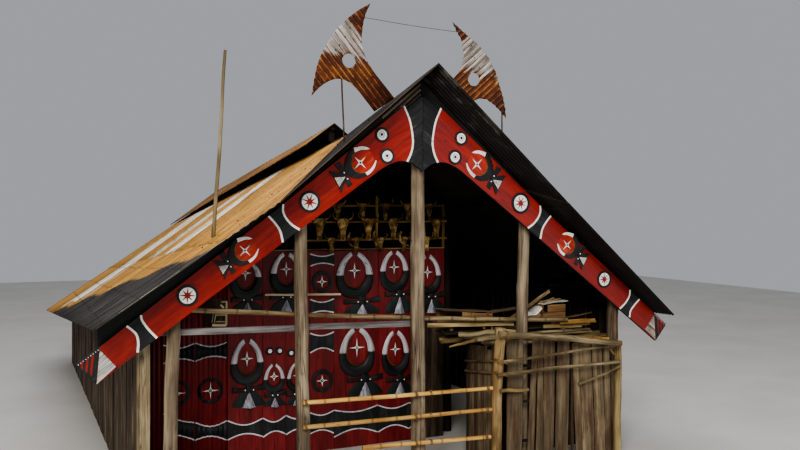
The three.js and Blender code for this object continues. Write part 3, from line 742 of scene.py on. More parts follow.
def corr(p, O, eu, es, n, poly, top, under, lift=(0.0, 0.0), twist=0.0, uref=0.0, rows=3, amp=AMP, pitch=PITCH, th=0.0012,
         r=0.5, t=0.0, goff=(0, 0, 0), sub=8, wave=0.0, seed=0):
    """One corrugated sheet: a convex outline in (u, s), ribs along s, crests at the outline's plane."""
    us = [q[0] for q in poly]
    u0, u1 = min(us), max(us)
    if u1 - u0 < 0.01:
        return
    step = pitch / sub
    k0 = math.ceil((u0 - uref) / step + 1e-6)
    k1 = math.floor((u1 - uref) / step - 1e-6)
    cols = sorted(set([round(u0, 6), round(u1, 6)] + [round(uref + k * step, 6) for k in range(k0, k1 + 1)] + [round(x, 6) for x in us]))
    c2 = [cols[0]]
    for c in cols[1:]:
        if c - c2[-1] > 1e-4:
            c2.append(c)
    cols = c2
    A, W = [], []
    smin = min(q[1] for q in poly)
    smax = max(q[1] for q in poly)
    rs = np.random.RandomState(seed + 900)
    ph = rs.uniform(0, 6.28, 4)
    for u in cols:
        a_, b_ = span(poly, min(max(u, u0 + 1e-7), u1 - 1e-7))
        if a_ is None:
            a_, b_ = span(poly, u)
        for j in range(rows + 1):
            A.append((u, a_ + (b_ - a_) * j / rows))
    A = np.array(A)
    f = (A[:, 1] - smin) / max(smax - smin, 1e-6)
    fu = (A[:, 0] - u0) / (u1 - u0)
    h = -amp + amp * np.cos(2 * math.pi * (A[:, 0] - uref) / pitch) + lift[0] + (lift[1] - lift[0]) * f + twist * (fu - 0.5) * f
    h = h + wave * np.sin(A[:, 1] * 2.1 + ph[0] + A[:, 0] * 1.7) * np.sin(fu * 3.14)
    O, eu, es, n = map(lambda q: np.asarray(q, float), (O, eu, es, n))
    top_v = O + A[:, :1] * eu + A[:, 1:] * es + h[:, None] * n
    bot_v = top_v - n * th
    nc = len(cols)
    k = nc * (rows + 1)
    F, mt, sm = [], [], []
    for i in range(nc - 1):
        for j in range(rows):
            a_, b_, c_, d_ = i * (rows + 1) + j, (i + 1) * (rows + 1) + j, (i + 1) * (rows + 1) + j + 1, i * (rows + 1) + j + 1
            F.append((a_, b_, c_, d_))
            mt.append(top)
            sm.append(True)
            F.append((a_ + k, d_ + k, c_ + k, b_ + k))
            mt.append(under)
            sm.append(True)
    for i in range(nc - 1):
        a_, b_ = i * (rows + 1), (i + 1) * (rows + 1)
        F.append((a_, a_ + k, b_ + k, b_))
        a2_, b2_ = a_ + rows, b_ + rows
        F.append((a2_, b2_, b2_ + k, a2_ + k))
        mt += [top, top]
        sm += [False, False]
    for j in range(rows):
        F.append((j, j + 1, j + 1 + k, j + k))
        b_ = (nc - 1) * (rows + 1) + j
        F.append((b_, b_ + k, b_ + 1 + k, b_ + 1))
        mt += [top, top]
        sm += [False, False]
    if np.dot(np.cross(eu, es), n) < 0:
        F = [tuple(reversed(q)) for q in F]
    G = np.stack([A[:, 1], A[:, 0], h], 1) + np.array(goff)
    if callable(t):
        t = t(A)
        t = np.concatenate([t, t])
    p.add(np.concatenate([top_v, bot_v]), F, mt, np.concatenate([G, G]), r, t, sm)


def facet(pts, sdir):
    """Frame of a flat roof facet: origin, across, down-slope, up normal and outline in (u, s)."""
    P = [np.array(q, float) for q in pts]
    n = unit(np.cross(P[1] - P[0], P[2] - P[0]))
    if n[2] < 0:
        n = -n
    es = np.asarray(sdir, float)
    es = unit(es - n * np.dot(es, n))
    eu = unit(np.cross(n, es))
    poly = [(float(np.dot(q - P[0], eu)), float(np.dot(q - P[0], es))) for q in P]
    return P[0], eu, es, n, poly


def roofing(p, pts, sdir, top, under, ustart, uwidth, rowcuts, tones, seed=0, base_lift=0.0, lap=0.12, rows=3, vary=0.002, origin=None):
    """Covers a convex facet with single sheets, side laps of one rib, end laps between the rows."""
    O, eu, es, n, poly = facet(pts, sdir)
    if origin is not None:
        d = np.asarray(origin, float) - O
        shift = (float(np.dot(d, eu)), float(np.dot(d, es)))
    else:
        shift = (0.0, 0.0)
    rs = np.random.RandomState(seed + 400)
    us = [q[0] for q in poly]
    ss = [q[1] for q in poly]
    k = 0
    u = ustart + shift[0]
    while u > min(us):
        u -= uwidth
    while u < max(us):
        for ri in range(len(rowcuts) - 1):
            s0, s1 = rowcuts[ri] + shift[1], rowcuts[ri + 1] + shift[1]
            jit = rs.uniform(-0.03, 0.03)
            q = clip(poly, -1, 0, -(u - 0.0))
            q = clip(q, 1, 0, u + uwidth + PITCH * 0.9) if q else q
            q = clip(q, 0, -1, -(s0 - lap + jit)) if q and ri > 0 else q
            q = clip(q, 0, 1, s1 + jit) if q and ri < len(rowcuts) - 2 else q
            if len(q) >= 3:
                kk = int(round((u - ustart - shift[0]) / uwidth))
                tn = tones(kk, ri) if callable(tones) else tones
                up = base_lift + 0.0014 * (kk % 2) + 0.002 * (len(rowcuts) - 2 - ri)
                corr(p, O, eu, es, n, q, top, under, (up - 0.001, up + rs.uniform(0, 0.003)), rs.uniform(-vary, vary), u, rows,
                     r=rs.uniform(0, 1), t=tn, goff=tuple(rs.uniform(-9, 9, 3)), seed=seed + k, wave=0.0015)
            k += 1
        u += uwidth
    return O, eu, es, n, poly


def nails(p, O, eu, es, n, poly, uref, rows, every=2, seed=0, lift=0.004):
    """Roofing nails with worn washers on every other crest, in rows along the battens."""
    rs = np.random.RandomState(seed + 77)
    us = [q[0] for q in poly]
    V, F, G = [], [], []
    seg = 6
    k = math.ceil((min(us) - uref) / PITCH)
    while uref + k * PITCH < max(us):
        u = uref + k * PITCH
        if k % every == 0 and min(us) + 0.02 < u < max(us) - 0.02:
            a_, b_ = span(poly, u)
            if a_ is not None:
                for s in rows:
                    if a_ + 0.04 < s < b_ - 0.03 and rs.uniform() > 0.12:
                        c = O + eu * u + es * (s + rs.uniform(-0.02, 0.02)) + n * lift
                        b = len(V)
                        for rr, hh in ((0.012, 0.0), (0.010, 0.0025), (0.005, 0.0045)):
                            for i in range(seg):
                                a0 = i * math.pi / 3
                                V.append(c + eu * rr * math.cos(a0) + es * rr * math.sin(a0) + n * hh)
                        V.append(c + n * 0.0055)
                        for lv in range(2):
                            for i in range(seg):
                                j = (i + 1) % seg
                                F.append((b + lv * seg + i, b + lv * seg + j, b + (lv + 1) * seg + j, b + (lv + 1) * seg + i))
                        for i in range(seg):
                            F.append((b + 2 * seg + i, b + 2 * seg + (i + 1) % seg, b + 3 * seg))
        k += 1
    if V:
        p.add(V, F, "nail", None, 0.5, 0.0, True)


def bamboo_mat(name, tones, knot):
    n = Mat(name)
    g, r, t = n.vec("g"), n.num("r"), n.num("t")
    fib = n.noise(g, (3, 160, 160), 4, 0.6)
    band = n.noise(g, (1.4, 14, 14), 4, 0.6, 0.2)
    col = n.ramp(band, [(0.3, tones[0]), (0.48, tones[1]), (0.66, tones[2])])
    col = n.mix(0.4, col, n.ramp(fib, [(0.35, 0.7), (0.6, 1.1)]), "MULTIPLY")
    spot = n.ramp(n.noise(g, (6, 30, 30), 5, 0.7, 0.3, (4, 4, 4)), [(0.60, 0.0), (0.68, 0.7)])
    col = n.mix(spot, col, srgb(84, 58, 34))
    # t darkens towards the node colour: at the nodes, and at the cut ends, where inside the hollow it is painted shade
    col = n.mix(n.math("MULTIPLY", t, 0.85), col, knot)
    col = n.mix(1.0, col, n.ramp(r, [(0.0, 0.72), (1.0, 1.1)]), "MULTIPLY")
    return n.done(col, n.ramp(band, [(0.3, 0.55), (0.7, 0.34)]), n.bump(n.math("ADD", fib, n.math("MULTIPLY", spot, -0.6)), 0.2, 0.002), 0.0, 0.4)


def horn_mat():
    n = Mat("cut_iron_horn")
    g, r, t = n.vec("g"), n.num("r"), n.num("t")
    st = n.noise(g, (2.0, 24, 10), 5, 0.65, 0.2)
    bl = n.noise(g, (5, 7, 5), 5, 0.7, 0.4, (3, 2, 1))
    fine = n.noise(g, (60, 90, 60), 4, 0.7)
    hgt = n.sep(g)[2]
    rust = n.ramp(n.math("ADD", n.math("MULTIPLY", st, 0.5), n.math("MULTIPLY", bl, 0.5)),
                  [(0.34, srgb(38, 16, 7)), (0.47, srgb(78, 36, 14)), (0.58, srgb(122, 66, 24)), (0.70, srgb(204, 150, 78))])
    # painted highlight: paler golden rust along the crests of the ribs
    crest = n.ramp(n.math("ADD", n.math("MULTIPLY", hgt, 38.0), n.math("MULTIPLY", bl, 0.9)), [(0.30, 0.0), (0.44, 1.0)])
    worn = n.ramp(n.noise(g, (3, 14, 5), 4, 0.65, 0.2, (4, 7, 2)), [(0.36, 0.08), (0.62, 0.85)])
    rust = n.mix(n.math("MULTIPLY", crest, worn), rust, n.ramp(fine, [(0.35, srgb(136, 78, 34)), (0.65, srgb(214, 158, 92))]))
    pale = n.ramp(st, [(0.34, srgb(104, 94, 84)), (0.47, srgb(150, 143, 135)), (0.64, srgb(206, 203, 199))])
    # dark rust-coloured lines in the troughs of the ribs, the crests stay paler
    line = n.ramp(n.math("ADD", n.math("ADD", n.math("MULTIPLY", hgt, 38.0), 0.65), n.math("MULTIPLY", bl, 0.24)), [(0.14, 1.0), (0.25, 0.0)])
    m_ = n.math("ADD", t, n.math("MULTIPLY", n.math("SUBTRACT", n.math("ADD", n.math("MULTIPLY", bl, 0.35), n.math("MULTIPLY", st, 0.65)), 0.5), 3.4))
    pm = n.ramp(m_, [(0.40, 0.0), (0.66, 1.0)])
    col = n.mix(pm, rust, pale)
    lm = n.math("MULTIPLY", line, n.ramp(n.noise(g, (2.2, 9, 3), 4, 0.6, 0, (8, 1, 2)), [(0.30, 0.45), (0.55, 1.0)]))
    col = n.mix(lm, col, n.ramp(fine, [(0.35, srgb(46, 20, 10)), (0.65, srgb(112, 52, 24))]))
    col = n.mix(0.4, col, n.ramp(fine, [(0.35, 0.6), (0.65, 1.2)]), "MULTIPLY")
    # older, darker rust towards the tip, the low corner and the foot
    col = n.mix(1.0, col, n.ramp(n.math("MULTIPLY", t, -1.0), [(0.0, (1.0, 1.0, 1.0, 1.0)), (0.28, (0.60, 0.48, 0.52, 1.0))]), "MULTIPLY")
    return n.done(col, n.ramp(fine, [(0.3, 0.7), (0.7, 0.5)]), n.bump(n.math("ADD", fine, bl), 0.4, 0.003), 0.2, 0.35)


def striated(name, a, b, c, scale=(1, 60, 60)):
    n = Mat(name)
    g, r = n.vec("g"), n.num("r")
    st = n.noise(g, (1.5, scale[1], scale[2]), 3, 0.6)
    bl = n.noise(g, (6, 6, 6), 4, 0.6, 0.2)
    col = n.ramp(n.math("ADD", n.math("MULTIPLY", st, 0.75), n.math("MULTIPLY", bl, 0.25)), [(0.36, a), (0.5, b), (0.64, c)])
    return n.done(col, n.ramp(st, [(0.3, 0.8), (0.7, 0.55)]), n.bump(st, 0.6, 0.004), 0.0, 0.3)


def bone_mat():
    n = Mat("smoked_bone")
    g, r, t = n.vec("g"), n.num("r"), n.num("t")
    bl = n.noise(g, 9.0, 5, 0.6, 0.4)
    fine = n.noise(g, 60.0, 4, 0.65)
    col = n.ramp(bl, [(0.36, srgb(58, 40, 18)), (0.50, srgb(166, 126, 62)), (0.64, srgb(250, 220, 148))])
    col = n.mix(0.5, col, n.ramp(fine, [(0.35, 0.55), (0.65, 1.15)]), "MULTIPLY")
    col = n.mix(1.0, col, n.ramp(r, [(0.0, 0.5), (1.0, 1.15)]), "MULTIPLY")
    # t darkens the bone: the horns' own dark colour, and painted shade in the eye sockets and nostrils
    col = n.mix(n.math("MULTIPLY", t, 0.92), col, srgb(26, 20, 15))
    return n.done(col, n.ramp(fine, [(0.3, 0.8), (0.7, 0.6)]), n.bump(n.math("ADD", bl, fine), 0.5, 0.004), 0.0, 0.3)


def steel_mat(name, a, b, c, metal=0.7, rough=(0.4, 0.75)):
    n = Mat(name)
    v = n.place()
    bl = n.noise(v, (14, 14, 5), 5, 0.65, 0.3)
    fine = n.noise(v, 150.0, 4, 0.6)
    col = n.ramp(n.math("ADD", n.math("MULTIPLY", bl, 0.7), n.math("MULTIPLY", fine, 0.3)), [(0.38, a), (0.52, b), (0.64, c)])
    return n.done(col, n.ramp(bl, [(0.35, rough[0]), (0.65, rough[1])]), n.bump(fine, 0.3, 0.001), metal, 0.4)


def rope_mat():
    n = Mat("cane_lashing")
    g, r = n.vec("g"), n.num("r")
    st = n.noise(g, (60, 60, 60), 4, 0.6)
    tw = n.noise(g, (220, 30, 30), 2, 0.5)
    col = n.ramp(n.math("ADD", n.math("MULTIPLY", st, 0.5), n.math("MULTIPLY", tw, 0.5)), [(0.35, srgb(60, 42, 26)), (0.5, srgb(122, 94, 60)), (0.65, srgb(168, 138, 96))])
    return n.done(col, n.ramp(st, [(0.3, 0.85), (0.7, 0.65)]), n.bump(tw, 0.6, 0.002), 0.0, 0.3)


M["bamboo"] = bamboo_mat("dry_bamboo", (srgb(142, 100, 48), srgb(202, 155, 84), srgb(228, 188, 118)), srgb(106, 74, 40))
M["cane"] = bamboo_mat("weathered_bamboo", (srgb(70, 54, 32), srgb(124, 102, 68), srgb(172, 154, 118)), srgb(70, 54, 34))
M["horn"] = horn_mat()
M["bone"] = bone_mat()
M["steel"] = steel_mat("rod_steel", srgb(52, 34, 26), srgb(88, 66, 54), srgb(126, 112, 100))
M["nail"] = steel_mat("roof_nail", srgb(20, 16, 14), srgb(40, 32, 27), srgb(70, 58, 48), 0.5)
M["rope"] = rope_mat()
M["snout"] = striated("striped_snout", srgb(96, 96, 104), srgb(158, 158, 168), srgb(206, 206, 212))
# darker copy of the hatched white for the right board's tip: dirt, and painted shade at the board's low end
M["shaded_dirty_tip"] = striated("dirty_shaded_hatched_tip", srgb(84, 70, 60), srgb(150, 136, 122), srgb(196, 186, 172), (1, 46, 46))
M["fan"] = striated("striped_fan", srgb(150, 146, 138), srgb(204, 200, 192), srgb(232, 230, 224), (1, 40, 40))
M["joint"] = steel_mat("board_joint", srgb(12, 9, 8), srgb(20, 16, 13), srgb(34, 26, 20), 0.0, (0.8, 0.95))
M["hatch"] = striated("hatched_tip", srgb(120, 116, 110), srgb(184, 180, 174), srgb(220, 216, 210), (1, 46, 46))


# pale wood for the strips along the left verge: a painted highlight of the sheets' sunlit edge
M["vergeedge"] = wood("verge_edge", (srgb(84, 78, 70), srgb(150, 142, 128), srgb(206, 198, 182)), crack=0.3, bump=0.3, vary=0.5)


# ---------------------------------------------------------------- roof
def leftZ(x, y):
    return 5.63 - 0.675 * abs(x) - FALL * (y + 0.5)


def rightZ(x, y):
    return 5.315 - 0.685 * x - FALL * (y - 3.0)


LF = (-2.26, -0.5, leftZ(-2.26, -0.5))
RF = (2.28, -0.4, 4.09)
A2 = (4.5, -0.2, 2.30)
B0 = (0.0, 3.0, 5.315)


roofL = Piece()
LEN = math.hypot(4.5, 0.675 * 4.5)
XL = 2.90
Lp = lambda x, y: (-x, y, leftZ(x, y))
skew = (-0.787, -0.616, -0.675 * 0.787 + FALL * 0.616)
upper = [Lp(0.001, 3.0), Lp(2.26, -0.5), Lp(XL + 0.06, -0.5), Lp(XL + 0.06, 13.0), Lp(0.001, 13.0)]
TONE = {-1: 0.10, 0: 0.76, 1: 0.30, 2: 0.72, 3: 0.22, 4: 0.12, 5: 0.70, 6: 0.80, 7: 0.42, 8: 0.20, 9: 0.30}
org = Lp(0.0, 6.42)


def tone_up(k, row):
    k = -k if euL[1] < 0 else k
    return TONE.get(k, 0.02)


OL, euL, esL, nL, polyL = facet(upper, skew)
roofing(roofL, upper, skew, "iron", "under", 0.0, 10 * PITCH, [-19, 19], tone_up, seed=3, rows=6, origin=org, base_lift=0.004)
d_ = np.asarray(org) - OL
nails(roofL, OL, euL, esL, nL, polyL, float(np.dot(d_, euL)), [float(np.dot(d_, esL)) + s for s in np.arange(-9, 9, 0.62)], 3, 5)
lower = [Lp(XL - 0.06, -0.5), Lp(4.5, -0.5), Lp(4.5, 13.0), Lp(XL - 0.06, 13.0)]
down_l = (-1, 0, -0.675)
OL, euL, esL, nL, polyL = facet(lower, down_l)
LOW = {0: -0.05, 1: 0.0, 2: -0.02, 3: 0.05, 4: 0.02, 5: 0.22, 6: 0.08, 7: 0.10, 8: 0.12, 9: 0.16, 10: 0.55, 11: 0.86, 12: 0.80, 13: 0.2, 14: 0.1, 15: 0.1, 16: 0.2, 17: 0.1, 18: 0.1}


def tone_low_with_painted_shadow(k, row):
    k = -k - 1 if euL[1] < 0 else k
    base = LOW.get(k, 0.0)
    o = np.asarray(Lp(0.0, -0.5)) - OL

    def f(A):
        y = np.abs(A[:, 0] - float(np.dot(o, euL)))
        x = (A[:, 1] - float(np.dot(o, esL))) / 1.2065
        # past this wavy edge t drops below zero: a painted shadow, dark grey, over the slope's lower front corner
        edge = 3.02 + 0.17 * y + 0.07 * np.sin(y * 2.6)
        w = np.clip((x - edge) / 0.25, 0, 1)
        return base * (1 - w) - 1.1 * w
    return f


roofing(roofL, lower, down_l, "iron", "under", 0.0, 10 * PITCH, [-19, 19], tone_low_with_painted_shadow, seed=4, rows=8, origin=Lp(0.0, -0.5))
d_ = np.asarray(Lp(0.0, -0.5)) - OL
nails(roofL, OL, euL, esL, nL, polyL, float(np.dot(d_, euL)), [float(np.dot(d_, esL)) + s for s in (3.62, 4.2, 4.8, 5.3)], 3, 5)
# pale strips along the left verge: painted highlight for the sunlit edge of the sheets
for i in range(9):
    x0, x1 = 2.30 + 0.242 * i, 2.30 + 0.242 * (i + 1) - 0.012
    board(roofL, Lp(x0, -0.4862), Lp(x1, -0.4862), (0, 1, -FALL), (-0.55, 0, 0.83), 0.016, 0.006, "vergeedge", 5, 0.001, seed=700 + i, warp=0.001, edge=0.003, r=(0.9, 0.4, 0.95, 0.7, 0.3, 0.9, 0.6, 0.95, 0.5)[i])
roofL.V = [np.stack([v[:, 0], np.maximum(v[:, 1], -0.4999), v[:, 2]], 1) for v in roofL.V]
roofL.make("roof_left_sheets", "roof_left")

roofR = Piece()
pr = [(0.001, 2.90, rightZ(0.0, 2.90)), (4.5, 2.90, rightZ(4.5, 2.90)), (4.5, 13.0, rightZ(4.5, 13.0)), (0.001, 13.0, rightZ(0.0, 13.0))]
down_r = (1, 0, -0.685)
OR, euR, esR, nR, polyR = facet(pr, down_r)
rt = random.Random(5)
tabR = {k: rt.choice([-0.1, 0.0, 0.05, 0.1, 0.3, 0.7, 0.0]) for k in range(-30, 31)}
tabR[-1] = tabR[0] = tabR[1] = 0.0
roofing(roofR, pr, down_r, "iron", "under", 0.0, 10 * PITCH, [-0.2, LEN * 0.5, LEN + 0.3], lambda k, row: tabR[k] + (0.1 if row else 0), seed=9, rows=4, origin=(0, 3.0, 5.315), base_lift=0.006)
d_ = np.asarray((0, 3.0, 5.315)) - OR
nails(roofR, OR, euR, esR, nR, polyR, float(np.dot(d_, euR)), [s for s in (0.35, 1.0, 1.65, 2.3, 2.72, 3.3, 3.95, 4.6, 5.2)], 3, 6)
roofR.make("roof_right_sheets", "roof_right")

# the front of the right slope: the lower sheets dip and tuck under the flared ones
rf = Piece()
dipZ = lambda x, y: 5.315 - 0.685 * x - 0.0991 * (y - 3.0)
D_ = lambda x, y, d=0.0: (x, y, dipZ(x, y) - d)
roofing(rf, [D_(2.235, -0.4), D_(2.28, -0.4), D_(2.34, -0.33), D_(2.34, 3.06), D_(0.001, 3.06), D_(0.001, 2.93)], (1, 0, -0.685), "iron", "under", 0.0, 10 * PITCH, [-9, 9], 0.0, seed=21, rows=3, origin=B0, base_lift=0.003)
rf.make("roof_right_front_upper_sheets", "roof_right_front_upper")
rf = Piece()
b2 = (4.5, 2.999, rightZ(4.5, 3.0))
roofing(rf, [RF, A2, b2], (1, 0.09, -0.80), "dark", "under", 0.0, 10 * PITCH, [-9, 9], 0.05, seed=22, rows=3, origin=A2)
roofing(rf, [D_(2.28, -0.4), D_(2.33, -0.395), D_(4.5, 2.93), D_(4.5, 3.06), D_(2.27, 3.06)], (1, 0.0, -0.685), "iron", "under", 0.0, 10 * PITCH, [-9, 9], 0.0, seed=23, rows=3, origin=B0)
rf.make("roof_right_front_lower_sheets", "roof_right_front_lower")

# flared front sheets, ribs along the verge
for side in (-1, 1):
    pw = Piece()
    if side < 0:
        tri = [(-0.001, -0.486, 6.0271), (-2.254, -0.486, 4.1061), (-0.001, 2.991, 5.317)]
        dirv = (-2.26, 0, -1.926)
    else:
        tri = [(0.001, -0.486, 6.0271), (2.274, -0.386, 4.0921), (0.001, 2.991, 5.317)]
        dirv = (2.28, 0.1, -1.94)
    # the left prow's underside takes the lighter copy, painted light; the right one keeps the sooty underside
    roofing(pw, tri, dirv, "dark", "lightened_underside" if side < 0 else "under", 0.0, 10 * PITCH, [-9, 9], lambda k, row: -0.3, seed=31 + side, rows=4, origin=tri[0], base_lift=0.003)
    O_, eu_, es_, n_, poly_ = facet(tri, dirv)
    nails(pw, O_, eu_, es_, n_, poly_, 0.0, [0.3, 0.9, 1.5, 2.1, 2.7], 3, 8)
    pw.make("roof_prow_%s_sheets" % ("left" if side < 0 else "right"), "roof_prow_%s" % ("left" if side < 0 else "right"))

# battens and rafters under the sheets, behind the front frame
fr = Piece()
rs = np.random.RandomState(4)
for side in (-1, 1):
    Zf = (lambda x, y: leftZ(x, y)) if side < 0 else (lambda x, y: rightZ(x, y))
    k = 0.675 if side < 0 else 0.685
    y0 = 0.6 if side < 0 else 3.05
    nn = unit(np.array([side * k, 0.09, 1.0]))
    ds = unit(np.array([side, 0, -k]))
    ln = unit(np.array([0, 1, -FALL]))
    for i, s in enumerate(np.arange(0.30, 5.2, 0.62)):
        x = s / math.hypot(1, k)
        ys = y0
        while ys < 12.9:
            ye = min(ys + 3.4, 12.9)
            a = np.array([side * x, ys, Zf(x, ys)]) - nn * 0.030
            b = np.array([side * x, ye - 0.01, Zf(x, ye)]) - nn * 0.030
            board(fr, a, b, ds, nn, 0.05, 0.020, "old", 4, 0.002, seed=int(100 * s) + int(ys * 7) + side * 3)
            ys = ye
    y = 0.9 if side < 0 else 3.3
    while y < 12.6:
        a = np.array([side * 0.10, y, Zf(0.10, y)]) - nn * 0.062
        b = np.array([side * 4.35, y, Zf(4.35, y)]) - nn * 0.062
        log(fr, a, b, 0.024, 0.022, "old", 7, 6, 0.05, 0.5, int(y * 13) + side * 5, knots=1)
        y += 0.92
fr.make("roof_battens", ())

# raised vent roof
VY0, VY1, VZ0, VZ1, VH0, VH1, VS = 3.62, 13.2, 5.58, 4.54, 0.52, 1.30, 0.74
for side in (-1, 1):
    vp = Piece()
    quad = [(side * 0.001, VY0, VZ0), (side * VH0, VY0, VZ0 - VS * VH0), (side * VH1, VY1, VZ1 - VS * VH1), (side * 0.001, VY1, VZ1)]
    dv = (side, 0, -VS)
    tabV = {k: rt.choice([0.0, 0.05, -0.12, 0.1, 0.3]) for k in range(-30, 31)}
    O_, eu_, es_, n_, poly_ = roofing(vp, quad, dv, "vent", "under", 0.0, 10 * PITCH, [-9, 9], lambda k, row: tabV[k], seed=61 + side, rows=3, origin=quad[0])
    nails(vp, O_, eu_, es_, n_, poly_, 0.0, [0.12, 0.45, 0.85, 1.25], 3, 9)
    vp.make("vent_%s_sheets" % ("left" if side < 0 else "right"), "vent_roof_%s" % ("left" if side < 0 else "right"))
vf = Piece()
vtop = lambda y: VZ0 - (VZ0 - VZ1) * (y - VY0) / (VY1 - VY0) - 0.08
log(vf, (0, 3.70, vtop(3.70)), (0, 12.9, vtop(12.9)), 0.045, 0.040, "old", 12, 30, 0.05, 0.3, 5)
for i, y in enumerate((3.8, 6.8, 9.8, 12.7)):
    zt, zb = vtop(y), 5.315 - FALL * (y - 3.0) + 0.012
    board(vf, (0, y, zb), (0, y, zt + 0.02), (1, 0, 0), (0, 1, 0), 0.12, 0.05, "old", 3, 0.004, seed=i)
vf.make("vent_frame_timber", "vent_frame")
# ridge flashing, folded over the main ridge
rd = Piece()
for side in (-1, 1):
    V, F, G = [], [], []
    k = 0.675 if side < 0 else 0.685
    ys = np.linspace(3.02, 12.98, 28)
    for i, y in enumerate(ys):
        for j, x in enumerate((0.0, 0.07, 0.15, 0.17)):
            z = 5.315 - k * x - FALL * (y - 3.0) + (0.007, 0.006, 0.0045, 0.001)[j] + 0.001 * math.sin(i * 1.7 + j)
            V.append((side * x, y, z))
            G.append((x, y, 0))
    for i in range(len(ys) - 1):
        for j in range(3):
            a = i * 4 + j
            F.append((a, a + 4, a + 5, a + 1) if side < 0 else (a, a + 1, a + 5, a + 4))
    rd.add(V, F, "dark", G, 0.5, 0.1, True)
rd.make("ridge_flashing", ())


# ---------------------------------------------------------------- bargeboards
SLOPE = math.atan(0.745)
CS, SN = math.cos(SLOPE), math.sin(SLOPE)


def board3d(side):
    def f(P):
        a, z, d = P[:, 0], P[:, 1], P[:, 2]
        x, y = side * a, -d
        return np.stack([x * math.cos(PROW) - side * y * math.sin(PROW), side * x * math.sin(PROW) + y * math.cos(PROW), z], 1)
    return f


def board_g(seed):
    o = np.random.RandomState(seed).uniform(-9, 9, 3)
    return lambda P: np.stack([P[:, 0] * CS - P[:, 1] * SN, P[:, 0] * SN + P[:, 1] * CS, P[:, 2]], 1) + o


top = lambda a: 5.634 - 0.761 * a
BOARD = [(0.0025, top(0.0025)), (0.0025, 4.552), (0.07, 4.612), (0.15, 4.66), (0.237, 4.688), (0.33, 4.697), (0.42, 4.682),
         (0.525, 4.640), (0.62, 4.588), (1.828, 3.724), (4.42, 1.835), (4.65, top(4.65))]
arc0 = spline([(0.295, 5.475), (0.205, 5.27), (0.163, 5.06), (0.158, 4.93), (0.190, 4.80), (0.245, 4.690)], 6)
arcA = spline([(2.050, 4.075), (2.052, 3.98), (2.012, 3.89), (1.93, 3.80), (1.822, 3.732)], 6)
arcB = spline([(2.252, 3.918), (2.165, 3.825), (2.092, 3.715), (2.055, 3.565)], 6)
ARC_C = {-1: [(3.885, 2.672), (3.868, 2.60), (3.795, 2.490), (3.690, 2.372)], 1: [(3.852, 2.705), (3.835, 2.60), (3.755, 2.495), (3.640, 2.408)]}
ARC_D = {-1: [(4.058, 2.545), (3.990, 2.488), (3.938, 2.425), (3.918, 2.330), (3.925, 2.205)], 1: [(4.055, 2.545), (3.945, 2.450), (3.868, 2.365), (3.845, 2.258)]}


